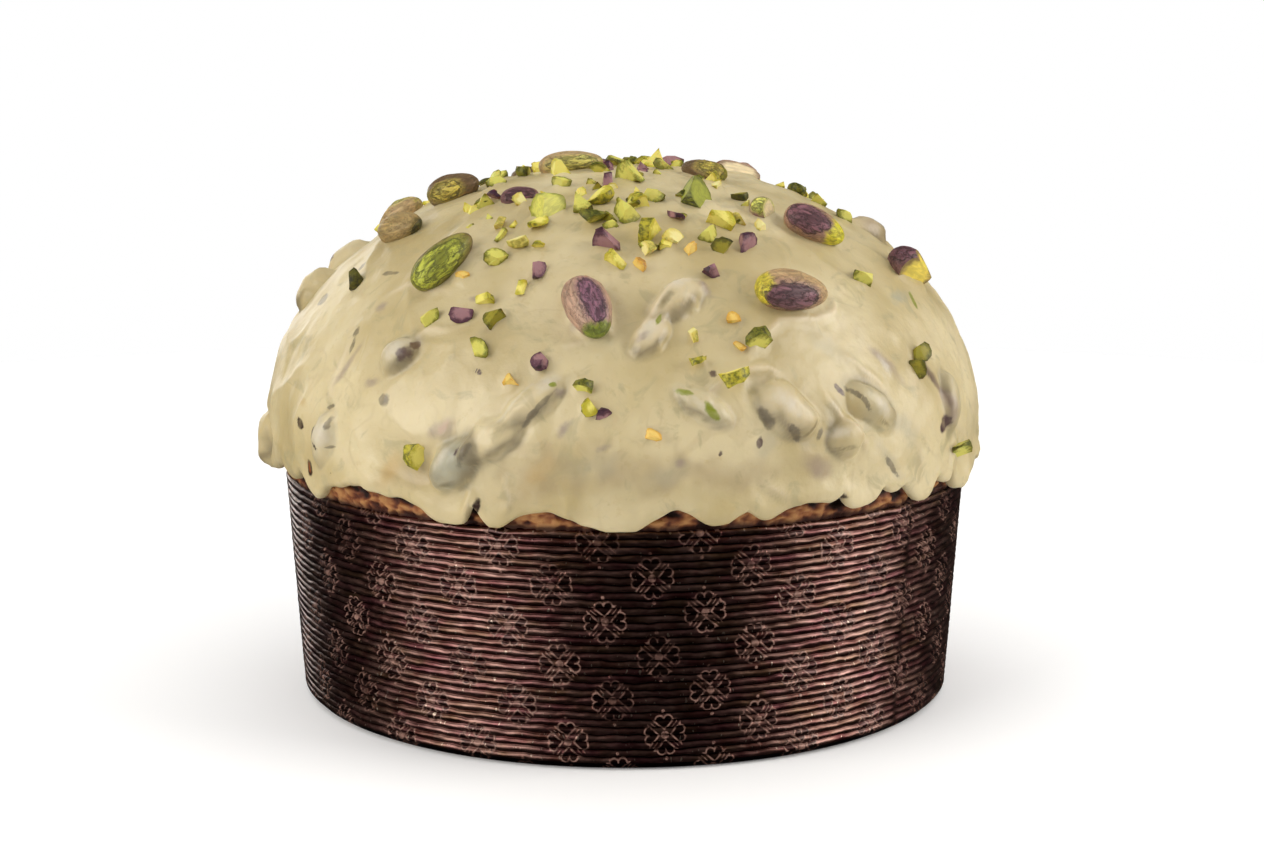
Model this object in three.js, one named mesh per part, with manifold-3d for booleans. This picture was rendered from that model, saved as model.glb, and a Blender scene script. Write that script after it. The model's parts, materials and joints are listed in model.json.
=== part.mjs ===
// A low panettone in its corrugated paper baking case. The risen dome is coated with pistachio
// cream glaze that runs down to the rim of the case in tongues, with whole and chopped
// pistachios scattered over it. Millimetres, +Z up, origin at the centre of the case's foot,
// front towards -Y.
import * as THREE from "three";
import { mergeVertices } from "three/addons/utils/BufferGeometryUtils.js";
import Module from "manifold-3d";

const wasm = await Module();
wasm.setup();
const { degToRad, radToDeg, lerp } = THREE.MathUtils;

// Driving dimensions of the paper case
const RIM_RADIUS = 92.5;
const FOOT_RADIUS = 88.4;
const CASE_HEIGHT = 60;
const RIB_COUNT = 31;
const RIB_DEPTH = 0.9;
const LINER = 0.5;
const FLOOR = 1.2;
const FOOT_BEVEL = 1.5;

// Driving dimensions of the dome, measured on the outside of the glaze
const BELLY_RADIUS = 96.5;
const BELLY_HEIGHT = 77;
const TOP_HEIGHT = 140.5;
const TUCK_RADIUS = 93;
const ROUND_OUT = 2.25;
const ROUND_UP = 1.75;
const GLAZE = 3.2;
const GAP = 0.3;

// Steps round and up the pieces
const ROUND_STEPS = 32;
const GLAZE_STEPS = 72;
const DOME_ROWS = 9;
const GLAZE_ROWS = 10;
const SHOULDER_CLIMB = -72;

// The glaze's lower edge: a lip turned under the skirt, and the tongues that run lower than the
// rest, each with its azimuth, drop and half width
const EDGE_HEIGHT = 65.2;
const LIP_RISE = 0.8;
const LIP_TURN = 0.96;
const TONGUES = [
  [-80, 3.6, 6], [-63, 2.6, 4], [-55, 5.2, 3], [-26, 5.4, 5], [-19, 4.4, 3], [-1, 6, 6],
  [13, 4.2, 4], [21, 3.4, 3], [35, 3, 4], [52, 3, 4], [66, 5, 5], [84, 2.4, 6], [104, 5, 5],
  [121, 3, 4], [140, 5.6, 6], [160, 2.8, 4], [178, 5, 5], [199, 3.4, 4], [219, 5.4, 5],
  [238, 3, 4], [257, 4.6, 5],
];

// Whole and halved kernels on the glaze: azimuth, climb, heading, length, width, thickness
const KERNELS = [
  [-37.5, 44, 74, 19.5, 9.6, 8.6], [30, 37.5, -8, 19.5, 11, 8.8], [-6, 35, -66, 18, 11, 8.6],
  [-74, 83, 84, 17.5, 9.5, 7], [-64.5, 51.5, 20, 15, 9.6, 7.4], [-74, 64, 55, 15, 10, 8.4],
  [50, 53, -56, 16.5, 10.5, 8.4], [70, 38.5, -36, 17, 10.5, 9], [60, 78, 78, 14, 9, 6],
  [108, 73, -72, 15, 9.4, 6], [24, 65.5, -62, 13, 9.6, 8.4], [-38, 66, 30, 10, 7, 5],
  [-22, 61, 80, 10.5, 9.4, 8.2], [42.5, 60, -50, 8, 7.2, 6],
  [118, 42, 30, 17, 10, 8.6], [136, 64, -40, 16, 10, 8.6], [152, 30, 75, 18, 10.5, 8.8],
  [174, 52, 10, 17, 10, 8.4], [196, 37, -60, 18, 10.5, 8.6], [214, 62, 40, 15, 9.6, 8.2],
  [231, 34, -15, 18, 10.5, 8.8], [251, 50, 80, 16, 10, 8.6],
];
const KERNEL_SUNK = 1.6;
const KERNEL_TAPER = 0.3;
const KERNEL_SIDES = 8;
const KERNEL_RINGS = 5;

// Kernels drowned in the glaze, which show as swellings: azimuth, climb, heading, length, width
const SWELLINGS = [
  [-14, 15, 36, 19, 9], [-19, 7, 36, 17, 9], [-25, -4, 44, 15, 10], [9, 38, 36, 17, 11],
  [4, 30, 50, 12, 8], [24, 13, -41, 18, 10], [39, 12, -41, 18, 9], [33, 5, 20, 9, 9],
  [-38, 24, 34, 13, 9], [-51, 0, 64, 13, 8], [-87, 32, 30, 13, 12], [-80, -26, 60, 15, 9],
  [88, 50, -60, 12, 9], [60, 9, 80, 16, 7], [10, 15, -41, 14, 6],
  [112, 20, 40, 17, 10], [133, 8, -30, 16, 9], [150, 46, 60, 14, 10], [168, 14, -50, 18, 9],
  [188, 24, 30, 16, 9], [208, 6, 70, 15, 9], [228, 20, -40, 17, 10], [246, 12, 20, 15, 9],
  [263, 40, -60, 15, 10],
];
const SWELLING_RISE = 2.6;
const SWELLING_SIDES = 7;
const SWELLING_RINGS = 5;

// Chopped nuts that lie where the front shows them: azimuth, climb, size
const FRONT_BITS = [
  [-88, 76, 5], [-66, 70, 5], [-47, 62, 4.6], [-22, 57, 5.4], [-24, 51, 5], [-27, 47, 5],
  [-17, 44, 4.8], [-22, 33, 5], [-28, 33, 5], [-34, 32, 4.8], [-4, 52, 6], [-2, 47, 5],
  [6, 55, 7], [11, 53, 5], [0, 61, 7], [-8, 59, 6], [-14, 63, 5.4], [-8, 66, 6], [4, 65, 5],
  [10, 67, 5.4], [-30, 73, 4.6], [-50, 79, 6], [-8, 73, 5], [3, 78, 7], [70, 85, 4.6],
  [14, 60, 4.6], [60, 76, 5.4], [25, 57, 6.6], [20, 54, 5], [28, 51, 5.6], [96, 64, 4.6],
  [51, 40, 5.4], [21, 28, 5.8], [-23, 26, 5.4], [-13, 24, 4.6], [16, 20, 6.6],
  [-61, 38, 5.4], [-31, 0, 5.6], [54, 21, 5.4], [61, -16, 5.4],
];

// Chopped nuts on the side turned away, thrown by a seeded rule, thickest near the top
const BACK_BITS = 20;
const BACK_FROM = 98;
const BACK_TO = 262;
const BIT_SMALLEST = 4.4;
const BIT_LARGEST = 6.4;
const BIT_STANDS = 0.2;
const BIT_WIDTH = 0.8;
const BIT_SKEW = 0.42;
const SEED = 20261;

// A repeatable stream of numbers from 0 to 1
function numbersFrom(seed) {
  let state = seed;
  return () => (state = (state * 48271) % 2147483647) / 2147483647;
}

// Outside of the dome at an azimuth (0 in front, 90 at the right) and a climb (0 at the belly,
// 90 at the top, -90 at the rim), as it is some distance in or out from the glaze's face
function domePoint(azimuth, climb, out = 0) {
  const a = degToRad(azimuth);
  const c = degToRad(climb);
  const belly = BELLY_RADIUS + out;
  let radius;
  let height;
  if (c >= 0) {
    radius = belly * Math.max(Math.cos(c), 0) ** (2 / ROUND_OUT);
    height = BELLY_HEIGHT + (TOP_HEIGHT + out - BELLY_HEIGHT) * Math.sin(c) ** (2 / ROUND_UP);
  } else {
    radius = lerp(TUCK_RADIUS + out, belly, Math.cos(c));
    height = BELLY_HEIGHT + (BELLY_HEIGHT - CASE_HEIGHT) * Math.sin(c);
  }
  return new THREE.Vector3(radius * Math.sin(a), -radius * Math.cos(a), height);
}

// The slow unevenness of the glaze's face
function swell(azimuth, climb) {
  const a = degToRad(azimuth);
  const c = degToRad(climb);
  const fade = Math.cos(c);
  return fade * (0.5 * Math.sin(3 * a + 0.7) * Math.cos(2.3 * c)
    + 0.35 * Math.sin(7 * a + 2) * Math.cos(4 * c + 1));
}

function glazePoint(azimuth, climb) {
  return domePoint(azimuth, climb, swell(azimuth, climb));
}

// Frame of a piece that lies on the glaze: its long side along the heading, measured from the
// right towards the top, and its own +Z along the face's normal
function glazeFrame(azimuth, climb, heading, rise) {
  const step = 0.5;
  const right = glazePoint(azimuth + step, climb).sub(glazePoint(azimuth - step, climb));
  const upward = glazePoint(azimuth, climb + step).sub(glazePoint(azimuth, climb - step));
  right.normalize();
  const normal = right.clone().cross(upward).normalize();
  const along = right.clone().applyAxisAngle(normal, degToRad(heading));
  const across = normal.clone().cross(along);
  const place = glazePoint(azimuth, climb).addScaledVector(normal, rise);
  return new THREE.Matrix4().makeBasis(along, across, normal).setPosition(place);
}

// A closed three.js geometry as a solid that can be joined and cut, and back again
function solidOf(geometry) {
  const bare = geometry.clone();
  bare.deleteAttribute("normal");
  bare.deleteAttribute("uv");
  const merged = mergeVertices(bare, 1e-3);
  return new wasm.Manifold(new wasm.Mesh({
    numProp: 3,
    vertProperties: merged.attributes.position.array,
    triVerts: new Uint32Array(merged.index.array),
  }));
}

function geometryOf(solid) {
  const { vertProperties, triVerts } = solid.getMesh();
  const geometry = new THREE.BufferGeometry();
  geometry.setAttribute("position", new THREE.BufferAttribute(vertProperties, 3));
  geometry.setIndex(new THREE.BufferAttribute(triVerts, 1));
  geometry.computeVertexNormals();
  return geometry;
}

// A turned piece: a profile of radii and heights, from the axis below to the axis above
function turned(profile, steps) {
  const points = profile.map(([radius, height]) => new THREE.Vector2(radius, height));
  return new THREE.LatheGeometry(points, steps).rotateX(Math.PI / 2);
}

function piece(name, geometry, material) {
  const mesh = new THREE.Mesh(geometry, material);
  mesh.name = name;
  return mesh;
}

const paper = new THREE.MeshStandardMaterial({ color: "#40262a", roughness: 0.45, metalness: 0 });
const crust = new THREE.MeshStandardMaterial({ color: "#8a5226", roughness: 0.8, metalness: 0 });
const cream = new THREE.MeshStandardMaterial({ color: "#d8c9a0", roughness: 0.35, metalness: 0 });
const nut = new THREE.MeshStandardMaterial({ color: "#8f8440", roughness: 0.6, metalness: 0 });

// The paper case: a flat floor and a wall whose ribs run round it, open at the rim
function paperCase() {
  const wallAt = (height) => lerp(FOOT_RADIUS, RIM_RADIUS, height / CASE_HEIGHT);
  const inside = RIB_DEPTH + LINER;
  const pitch = (CASE_HEIGHT - FOOT_BEVEL) / RIB_COUNT;
  const profile = [[0, 0], [FOOT_RADIUS - FOOT_BEVEL - RIB_DEPTH, 0]];
  for (let rib = 0; rib < RIB_COUNT; rib++) {
    const valley = FOOT_BEVEL + rib * pitch;
    const crest = valley + pitch / 2;
    profile.push([wallAt(valley) - RIB_DEPTH, valley], [wallAt(crest), crest]);
  }
  profile.push([wallAt(CASE_HEIGHT) - RIB_DEPTH, CASE_HEIGHT]);
  profile.push([wallAt(CASE_HEIGHT) - inside, CASE_HEIGHT]);
  profile.push([wallAt(FLOOR) - inside, FLOOR], [0, FLOOR]);
  return piece("paper_case", turned(profile, ROUND_STEPS), paper);
}

// The dome's profile from just over the rim to the top, some distance in from the glaze's face
function domeProfile(inset) {
  return Array.from({ length: DOME_ROWS + 1 }, (_, row) => {
    const point = domePoint(0, lerp(SHOULDER_CLIMB, 90, row / DOME_ROWS), -inset);
    return [row === DOME_ROWS ? 0 : -point.y, point.z];
  });
}

// The baked dough: it fills the case, swells over the rim and rises into the dome
function dough() {
  const fit = RIB_DEPTH + LINER + GAP;
  const dome = domeProfile(GLAZE);
  const rim = RIM_RADIUS - fit;
  const profile = [[0, FLOOR + GAP], [FOOT_RADIUS - fit, FLOOR + GAP]];
  profile.push([rim, CASE_HEIGHT], [rim, CASE_HEIGHT + GAP], ...dome);
  return piece("dough", turned(profile, ROUND_STEPS), crust);
}

// Height of the glaze's lower edge at an azimuth
function edgeHeight(azimuth) {
  const a = degToRad(azimuth);
  const wave = 0.5 * Math.sin(5 * a) + 0.4 * Math.sin(11 * a + 1);
  let lowest = 0;
  for (const [centre, drop, halfWidth] of TONGUES) {
    const away = Math.abs(((azimuth - centre + 540) % 360) - 180) / halfWidth;
    lowest = Math.max(lowest, drop * Math.exp(-away * away));
  }
  return Math.max(EDGE_HEIGHT + wave - lowest, CASE_HEIGHT + GAP);
}

// The climb, below the belly, at which the dome has a given height
function climbAt(height) {
  return radToDeg(Math.asin((height - BELLY_HEIGHT) / (BELLY_HEIGHT - CASE_HEIGHT)));
}

// The glaze before it is hollowed: a closed body whose skirt ends at the wavy edge
function glazeBody() {
  const positions = [];
  const triangles = [];
  const turnUnder = new THREE.Vector3(LIP_TURN, LIP_TURN, 1);
  for (let row = 0; row <= GLAZE_ROWS; row++) {
    for (let step = 0; step < GLAZE_STEPS; step++) {
      const azimuth = (360 * step) / GLAZE_STEPS;
      const edge = edgeHeight(azimuth);
      const climb = lerp(climbAt(edge), 90, Math.max(row - 1, 0) / GLAZE_ROWS);
      const point = glazePoint(azimuth, climb);
      if (row <= 1) point.z = edge;
      if (row === 0) point.multiply(turnUnder).z += LIP_RISE;
      positions.push(...point);
    }
  }
  const top = positions.length / 3;
  positions.push(0, 0, TOP_HEIGHT, 0, 0, EDGE_HEIGHT);
  for (let step = 0; step < GLAZE_STEPS; step++) {
    const next = (step + 1) % GLAZE_STEPS;
    for (let row = 0; row < GLAZE_ROWS; row++) {
      const below = row * GLAZE_STEPS;
      const above = below + GLAZE_STEPS;
      triangles.push(below + step, below + next, above + next);
      triangles.push(below + step, above + next, above + step);
    }
    const last = GLAZE_ROWS * GLAZE_STEPS;
    triangles.push(last + step, last + next, top, next, step, top + 1);
  }
  const geometry = new THREE.BufferGeometry();
  geometry.setAttribute("position", new THREE.Float32BufferAttribute(positions, 3));
  geometry.setIndex(triangles);
  return solidOf(geometry);
}

// What the glaze is hollowed by: the dough's dome, a gap larger, carried down past the skirt
function glazeCore() {
  const dome = domeProfile(GLAZE - GAP);
  const [radius] = dome[0];
  return solidOf(turned([[0, CASE_HEIGHT / 2], [radius, CASE_HEIGHT / 2], ...dome], ROUND_STEPS));
}

// A kernel: an egg drawn out along X, blunt at one end, its thickness along Z
function kernelGeometry(length, width, thickness, sides, rings) {
  const egg = new THREE.SphereGeometry(0.5, sides, rings).rotateZ(-Math.PI / 2);
  const place = egg.getAttribute("position");
  for (let i = 0; i < place.count; i++) {
    const slim = 1 - KERNEL_TAPER * place.getX(i);
    place.setXYZ(i, place.getX(i) * length, place.getY(i) * width * slim,
      place.getZ(i) * thickness * slim);
  }
  return egg;
}

// A chopped piece: a block with every corner pushed out of true
function bitGeometry(size, random) {
  const block = mergeVertices(new THREE.BoxGeometry(1, 1, 1).deleteAttribute("normal")
    .deleteAttribute("uv"));
  const place = block.getAttribute("position");
  for (let i = 0; i < place.count; i++) {
    const push = () => size * (1 - BIT_SKEW * random());
    place.setXYZ(i, place.getX(i) * push(), place.getY(i) * BIT_WIDTH * push(),
      place.getZ(i) * BIT_WIDTH * push());
  }
  return block;
}

// Every chopped piece's azimuth, climb and size
function chopped(random) {
  const thrown = Array.from({ length: BACK_BITS }, () => {
    const azimuth = lerp(BACK_FROM, BACK_TO, random());
    const climb = 90 * Math.sqrt(random());
    return [azimuth, climb, lerp(BIT_SMALLEST, BIT_LARGEST, random())];
  });
  return [...FRONT_BITS, ...thrown];
}

function kernelFrame([azimuth, climb, heading, , , thickness]) {
  return glazeFrame(azimuth, climb, heading, thickness / 2 - KERNEL_SUNK);
}

// The glaze: hollowed to lie on the dough, with the swellings and chopped nuts that are stuck
// in it, and a seat pressed in it under each kernel
function glaze() {
  const random = numbersFrom(SEED);
  let solid = glazeBody();
  for (const [azimuth, climb, heading, length, width] of SWELLINGS) {
    const egg = kernelGeometry(length, width, width, SWELLING_SIDES, SWELLING_RINGS);
    const frame = glazeFrame(azimuth, climb, heading, SWELLING_RISE - width / 2);
    solid = solid.add(solidOf(egg.applyMatrix4(frame)));
  }
  for (const [azimuth, climb, size] of chopped(random)) {
    const frame = glazeFrame(azimuth, climb, 180 * random(), size * BIT_STANDS);
    solid = solid.add(solidOf(bitGeometry(size, random).applyMatrix4(frame)));
  }
  solid = solid.subtract(glazeCore());
  for (const kernel of KERNELS) {
    const [, , , length, width, thickness] = kernel;
    const seat = kernelGeometry(length + 2 * GAP, width + 2 * GAP, thickness + 2 * GAP,
      KERNEL_SIDES, KERNEL_RINGS);
    solid = solid.subtract(solidOf(seat.applyMatrix4(kernelFrame(kernel))));
  }
  const [largest] = solid.decompose().sort((a, b) => b.volume() - a.volume());
  return piece("glaze", geometryOf(largest), cream);
}

function kernelPiece(kernel, index) {
  const [, , , length, width, thickness] = kernel;
  const name = `pistachio_${String(index + 1).padStart(2, "0")}`;
  const shape = kernelGeometry(length, width, thickness, KERNEL_SIDES, KERNEL_RINGS);
  const mesh = piece(name, shape, nut);
  mesh.applyMatrix4(kernelFrame(kernel));
  return mesh;
}

const panettone = new THREE.Group();
panettone.add(paperCase(), dough(), glaze(), ...KERNELS.map(kernelPiece));

export default panettone;
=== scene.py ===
"""A low panettone in its ribbed paper case, coated with pistachio cream glaze and pistachios.
The sections follow the cake as it is made. Units are metres; +Z is up and the front faces -Y."""
import json
import math
import bmesh
import bpy
import numpy as np
from mathutils import Matrix, Vector, noise

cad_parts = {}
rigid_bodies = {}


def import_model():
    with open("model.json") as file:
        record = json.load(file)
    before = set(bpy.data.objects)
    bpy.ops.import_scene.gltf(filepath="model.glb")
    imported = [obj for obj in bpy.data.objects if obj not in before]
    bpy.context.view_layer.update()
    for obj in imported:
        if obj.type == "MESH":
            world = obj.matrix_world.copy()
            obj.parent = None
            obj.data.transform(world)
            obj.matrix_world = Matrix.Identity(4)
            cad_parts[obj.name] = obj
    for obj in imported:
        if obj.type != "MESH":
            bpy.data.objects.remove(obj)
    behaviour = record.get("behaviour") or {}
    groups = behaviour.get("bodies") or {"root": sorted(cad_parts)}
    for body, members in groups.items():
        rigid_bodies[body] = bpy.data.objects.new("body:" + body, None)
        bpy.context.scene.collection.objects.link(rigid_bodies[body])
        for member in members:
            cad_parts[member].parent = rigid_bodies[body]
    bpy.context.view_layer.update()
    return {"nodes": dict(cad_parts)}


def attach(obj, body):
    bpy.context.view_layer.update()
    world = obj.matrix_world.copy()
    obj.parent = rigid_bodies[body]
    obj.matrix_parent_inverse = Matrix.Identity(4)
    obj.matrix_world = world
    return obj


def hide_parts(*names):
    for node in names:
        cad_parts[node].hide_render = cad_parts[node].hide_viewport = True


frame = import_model()

# The view: a short telephoto lens, in front of the cake and looking slightly down on it. The
# cake's axis stands a few pixels left of the picture's middle.
mm = 0.001
PHOTO_WIDTH = 1264
FOCAL_PIXELS = 2316
AXIS_PIXEL = 624.8
CAMERA_BACK = 628.3 * mm
CAMERA_HEIGHT = 176.6 * mm
CAMERA_DIP = math.radians(9.52)


def placed(name, data):
    """A new object in the scene"""
    made = bpy.data.objects.new(name, data)
    bpy.context.scene.collection.objects.link(made)
    return made


camera_data = bpy.data.cameras.new("camera")
camera_data.sensor_width = 36
camera_data.lens = camera_data.sensor_width * FOCAL_PIXELS / PHOTO_WIDTH
camera_data.shift_x = 0.5 - AXIS_PIXEL / PHOTO_WIDTH
camera_data.clip_end = 60
camera = placed("camera", camera_data)
camera.location = (0, -CAMERA_BACK, CAMERA_HEIGHT)
camera.rotation_euler = (math.pi / 2 - CAMERA_DIP, 0, 0)
bpy.context.scene.camera = camera


# The paper case: dark brown corrugated baking paper, wound so that its ribs run round the wall,
# printed with pale rosettes before it was glued to its floor. The wall leans out towards the rim.
RIM_RADIUS = 92.5 * mm
FOOT_RADIUS = 88.4 * mm
CASE_HEIGHT = 60 * mm
RIBS = 31
RIB_DEPTH = 0.9 * mm
LINER = 0.5 * mm
FLOOR = 1.2 * mm
FOOT_BEVEL = 1.5 * mm
RIM_BEAD = 0.1 * mm
WALL_STEPS = 500
STEPS_PER_RIB = 6
RIM_WAVE = 1.2 * mm
WALL_WAVE = 0.5 * mm
SEAM_AT = math.radians(52)
SEAM_WIDTH = math.radians(1)
SEAM_STEP = 0.5 * mm
SEAM_FADE = 9 * SEAM_WIDTH

# The ribs' own shape, and where they waver: not at the rim, the foot or the sheet's joint behind
RIB_WAVER = 1.0 * mm
RIB_FLAT = 0.4
RIB_LEAN = 0.36 * mm
WAVER_LENGTH = 4 * mm
WAVER_APART = 7.3
WALL_SHARE = 0.65
RAGGED_FROM = 0.9
CALM_FOOT = 0.03
CALM_RIM = 0.96
CALM_BACK = (2.9, 3.1)

# The print: columns and rows of rosettes, each with petals of two kinds round an eye, and pearls
MID_RADIUS = 90.5 * mm
ROSETTE_COLUMNS = 47
ROSETTE_DRIFT = math.tan(math.radians(5))
ROSETTE_ROW = 19.9 * mm
ROSETTE_ROWS_A_TURN = 2.5
FIRST_COLUMN = -1.4 * mm
FIRST_ROW = -1.7 * mm
PETAL_LOBE = (3.9 * mm, 1.05 * mm, 1.1 * mm)
PETAL_ROOT = 1.4 * mm
SLIM_PETAL = (3.6 * mm, 0.9 * mm, 2.2)
EYE_RADIUS = 0.8 * mm
PEARL_AT = 6.2 * mm
PEARL_RADIUS = 0.2 * mm
PRINT_LINE = 0.2 * mm
PRINT_BLUR = 0.12 * mm


def paint(red, green, blue):
    """A colour as a screen shows it, from 0 to 255, as the linear light that a shader takes"""
    def linear(value):
        share = value / 255
        return share / 12.92 if share <= 0.04045 else ((share + 0.055) / 1.055) ** 2.4
    return (linear(red), linear(green), linear(blue), 1)


class Wire:
    """An output of a node. Python's operators on it add Math nodes to its tree."""

    def __init__(self, book, socket):
        self.book = book
        self.socket = socket

    def __add__(self, other):
        return self.book.math("ADD", self, other)

    def __radd__(self, other):
        return self.book.math("ADD", other, self)

    def __sub__(self, other):
        return self.book.math("SUBTRACT", self, other)

    def __rsub__(self, other):
        return self.book.math("SUBTRACT", other, self)

    def __mul__(self, other):
        return self.book.math("MULTIPLY", self, other)

    def __rmul__(self, other):
        return self.book.math("MULTIPLY", other, self)

    def __truediv__(self, other):
        return self.book.math("DIVIDE", self, other)

    def __pow__(self, other):
        return self.book.math("POWER", self, other)

    def __mod__(self, other):
        return self.book.math("FLOORED_MODULO", self, other)

    def __abs__(self):
        return self.book.math("ABSOLUTE", self)


class Book:
    """A node tree, of a shader or of Geometry Nodes, written as expressions"""

    def __init__(self, tree):
        self.tree = tree

    def node(self, kind, inputs=(), output=0, stops=None, **settings):
        made = self.tree.nodes.new(kind)
        for name, value in settings.items():
            setattr(made, name, value)
        if stops:
            elements = made.color_ramp.elements
            while len(elements) < len(stops):
                elements.new(0.5)
            for element, (place, colour) in zip(elements, stops):
                element.position = place
                element.color = colour
        for name, value in dict(inputs).items():
            self.feed(self.socket(made.inputs, name), value)
        return Wire(self, self.socket(made.outputs, output))

    @staticmethod
    def socket(sockets, name):
        if isinstance(name, int):
            return sockets[name]
        return next(s for s in sockets if name in (s.identifier, s.name))

    def feed(self, socket, value):
        if isinstance(value, Wire):
            self.tree.links.new(value.socket, socket)
        else:
            socket.default_value = value

    def feed_all(self, sockets, values):
        for name, value in values.items():
            self.feed(sockets[name], value)

    def math(self, operation, *values):
        return self.node("ShaderNodeMath", enumerate(values), operation=operation)

    def least(self, first, second):
        return self.math("MINIMUM", first, second)

    def most(self, first, second):
        return self.math("MAXIMUM", first, second)

    def rise(self, value, low, high):
        """0 below low and 1 above high, smooth between them"""
        return self.node("ShaderNodeMapRange", {"Value": value, "From Min": low, "From Max": high},
                         interpolation_type="SMOOTHSTEP")

    def split(self, vector):
        parts = self.node("ShaderNodeSeparateXYZ", {0: vector}).socket.node
        return [Wire(self, socket) for socket in parts.outputs]

    def vector(self, x, y, z):
        return self.node("ShaderNodeCombineXYZ", {0: x, 1: y, 2: z})

    def stretch(self, vector, *shares):
        return self.node("ShaderNodeVectorMath", {0: vector, 1: shares}, operation="MULTIPLY")

    def mottle(self, place, scale, detail=2.0, roughness=0.5, distortion=0.0):
        """Noise from 0 to 1, so many grains to a unit of the place"""
        return self.node("ShaderNodeTexNoise", {"Vector": place, "Scale": scale, "Detail": detail,
                                                "Roughness": roughness, "Distortion": distortion})

    def place(self):
        return self.node("ShaderNodeTexCoord", output="Object")

    def stored(self, name, output="Fac"):
        """A value that the mesh holds under a name"""
        return self.node("ShaderNodeAttribute", output=output, attribute_name=name)

    def length(self, vector):
        return self.node("ShaderNodeVectorMath", {0: vector}, output="Value", operation="LENGTH")

    def mix(self, share, first, second):
        """From the first colour to the second"""
        return self.node("ShaderNodeMix", {"Factor_Float": share, "A_Color": first,
                                           "B_Color": second},
                         output="Result_Color", data_type="RGBA")

    def bump(self, height, depth, strength=1.0):
        return self.node("ShaderNodeBump", {"Strength": strength, "Distance": depth,
                                            "Height": height})

    def inputs(self, kinds):
        """The named inputs of a Geometry Nodes tree"""
        for name, kind in kinds.items():
            self.tree.interface.new_socket(name, in_out="INPUT", socket_type="NodeSocket" + kind)
        group = self.tree.nodes.new("NodeGroupInput")
        return {name: Wire(self, group.outputs[name]) for name in kinds}

    def result(self, geometry, material):
        """Ends a Geometry Nodes tree: instances made real, one material on all of it"""
        self.tree.interface.new_socket("Result", in_out="OUTPUT",
                                       socket_type="NodeSocketGeometry")
        real = self.node("GeometryNodeRealizeInstances", {0: geometry})
        painted = self.node("GeometryNodeSetMaterial", {"Geometry": real, "Material": material})
        end = self.tree.nodes.new("NodeGroupOutput")
        self.feed(end.inputs[0], painted)


def grown(name, book, values, start=None):
    """The plain mesh that a Geometry Nodes tree makes, from a starting mesh or from nothing"""
    holder = placed(name, start or bpy.data.meshes.new(name))
    modifier = holder.modifiers.new("grow", "NODES")
    modifier.node_group = book.tree
    for item in book.tree.interface.items_tree:
        if item.in_out == "INPUT" and item.name in values:
            modifier[item.identifier] = values[item.name]
    graph = bpy.context.evaluated_depsgraph_get()
    mesh = bpy.data.meshes.new_from_object(holder.evaluated_get(graph), depsgraph=graph,
                                           preserve_all_data_layers=True)
    holder.modifiers.clear()
    holder.data = mesh
    return holder


def material(name):
    """A new material, the book of its nodes and its Principled shader's inputs"""
    made = bpy.data.materials.new(name)
    made.use_nodes = True
    return made, Book(made.node_tree), made.node_tree.nodes["Principled BSDF"].inputs


def part_of_cake(piece, slot, *nodes):
    """Every piece rides on the cake's one body and stands for its CAD solids"""
    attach(piece, "root")
    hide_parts(*nodes)


def rosette(book, aside, above):
    """Distances to a rosette's nearest line and into its nearest petal, with its eye at 0, 0"""
    quarter = math.pi / 2
    reach = book.math("SQRT", aside * aside + above * above)
    folded = abs((book.math("ARCTAN2", above, aside) / quarter + 0.5) % 1 - 0.5) * quarter
    out = reach * book.math("COSINE", folded)
    side = reach * book.math("SINE", folded)
    lobe_out, lobe_side, lobe_radius = PETAL_LOBE
    lobe = book.math("SQRT", (out - lobe_out) ** 2 + (side - lobe_side) ** 2) - lobe_radius
    root_to_lobe = math.hypot(lobe_side, lobe_out - PETAL_ROOT)
    flare = math.atan2(lobe_side, lobe_out - PETAL_ROOT) + math.asin(lobe_radius / root_to_lobe)
    wedge = side * math.cos(flare) - (out - PETAL_ROOT) * math.sin(flare)
    petal = book.least(lobe, book.most(wedge, out - lobe_out))
    slim_out, slim_length, slim_thinness = SLIM_PETAL
    forward = reach * book.math("COSINE", quarter / 2 - folded)
    aslant = reach * book.math("SINE", quarter / 2 - folded)
    beyond = book.most(abs(forward - slim_out) - slim_length, 0)
    slim = book.math("SQRT", beyond * beyond + aslant * aslant) * slim_thinness
    pearl = book.math("SQRT", aside * aside + (abs(above) - PEARL_AT) ** 2) - PEARL_RADIUS
    dots = book.least(reach - EYE_RADIUS, pearl)
    return book.least(book.least(abs(petal), slim), dots), petal


def rosette_print(book, turn, height):
    """1 on the rosettes' printed lines and in their petals. They climb in slanted columns."""
    turn_length = 2 * math.pi * MID_RADIUS
    column_width = turn_length / ROSETTE_COLUMNS
    climb = ROSETTE_ROWS_A_TURN * ROSETTE_ROW / turn_length
    along = turn * MID_RADIUS
    across = along + height * ROSETTE_DRIFT - FIRST_COLUMN
    column = book.math("ROUND", across / column_width)
    upward = height - along * climb + (column % 2) * (ROSETTE_ROW / 2) - FIRST_ROW
    row = book.math("ROUND", upward / ROSETTE_ROW)
    line, petal = rosette(book, across - column * column_width, upward - row * ROSETTE_ROW)
    lines = 1 - book.rise(line, PRINT_LINE - PRINT_BLUR, PRINT_LINE + PRINT_BLUR)
    return lines, 1 - book.rise(petal, -PRINT_BLUR, PRINT_BLUR)


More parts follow.
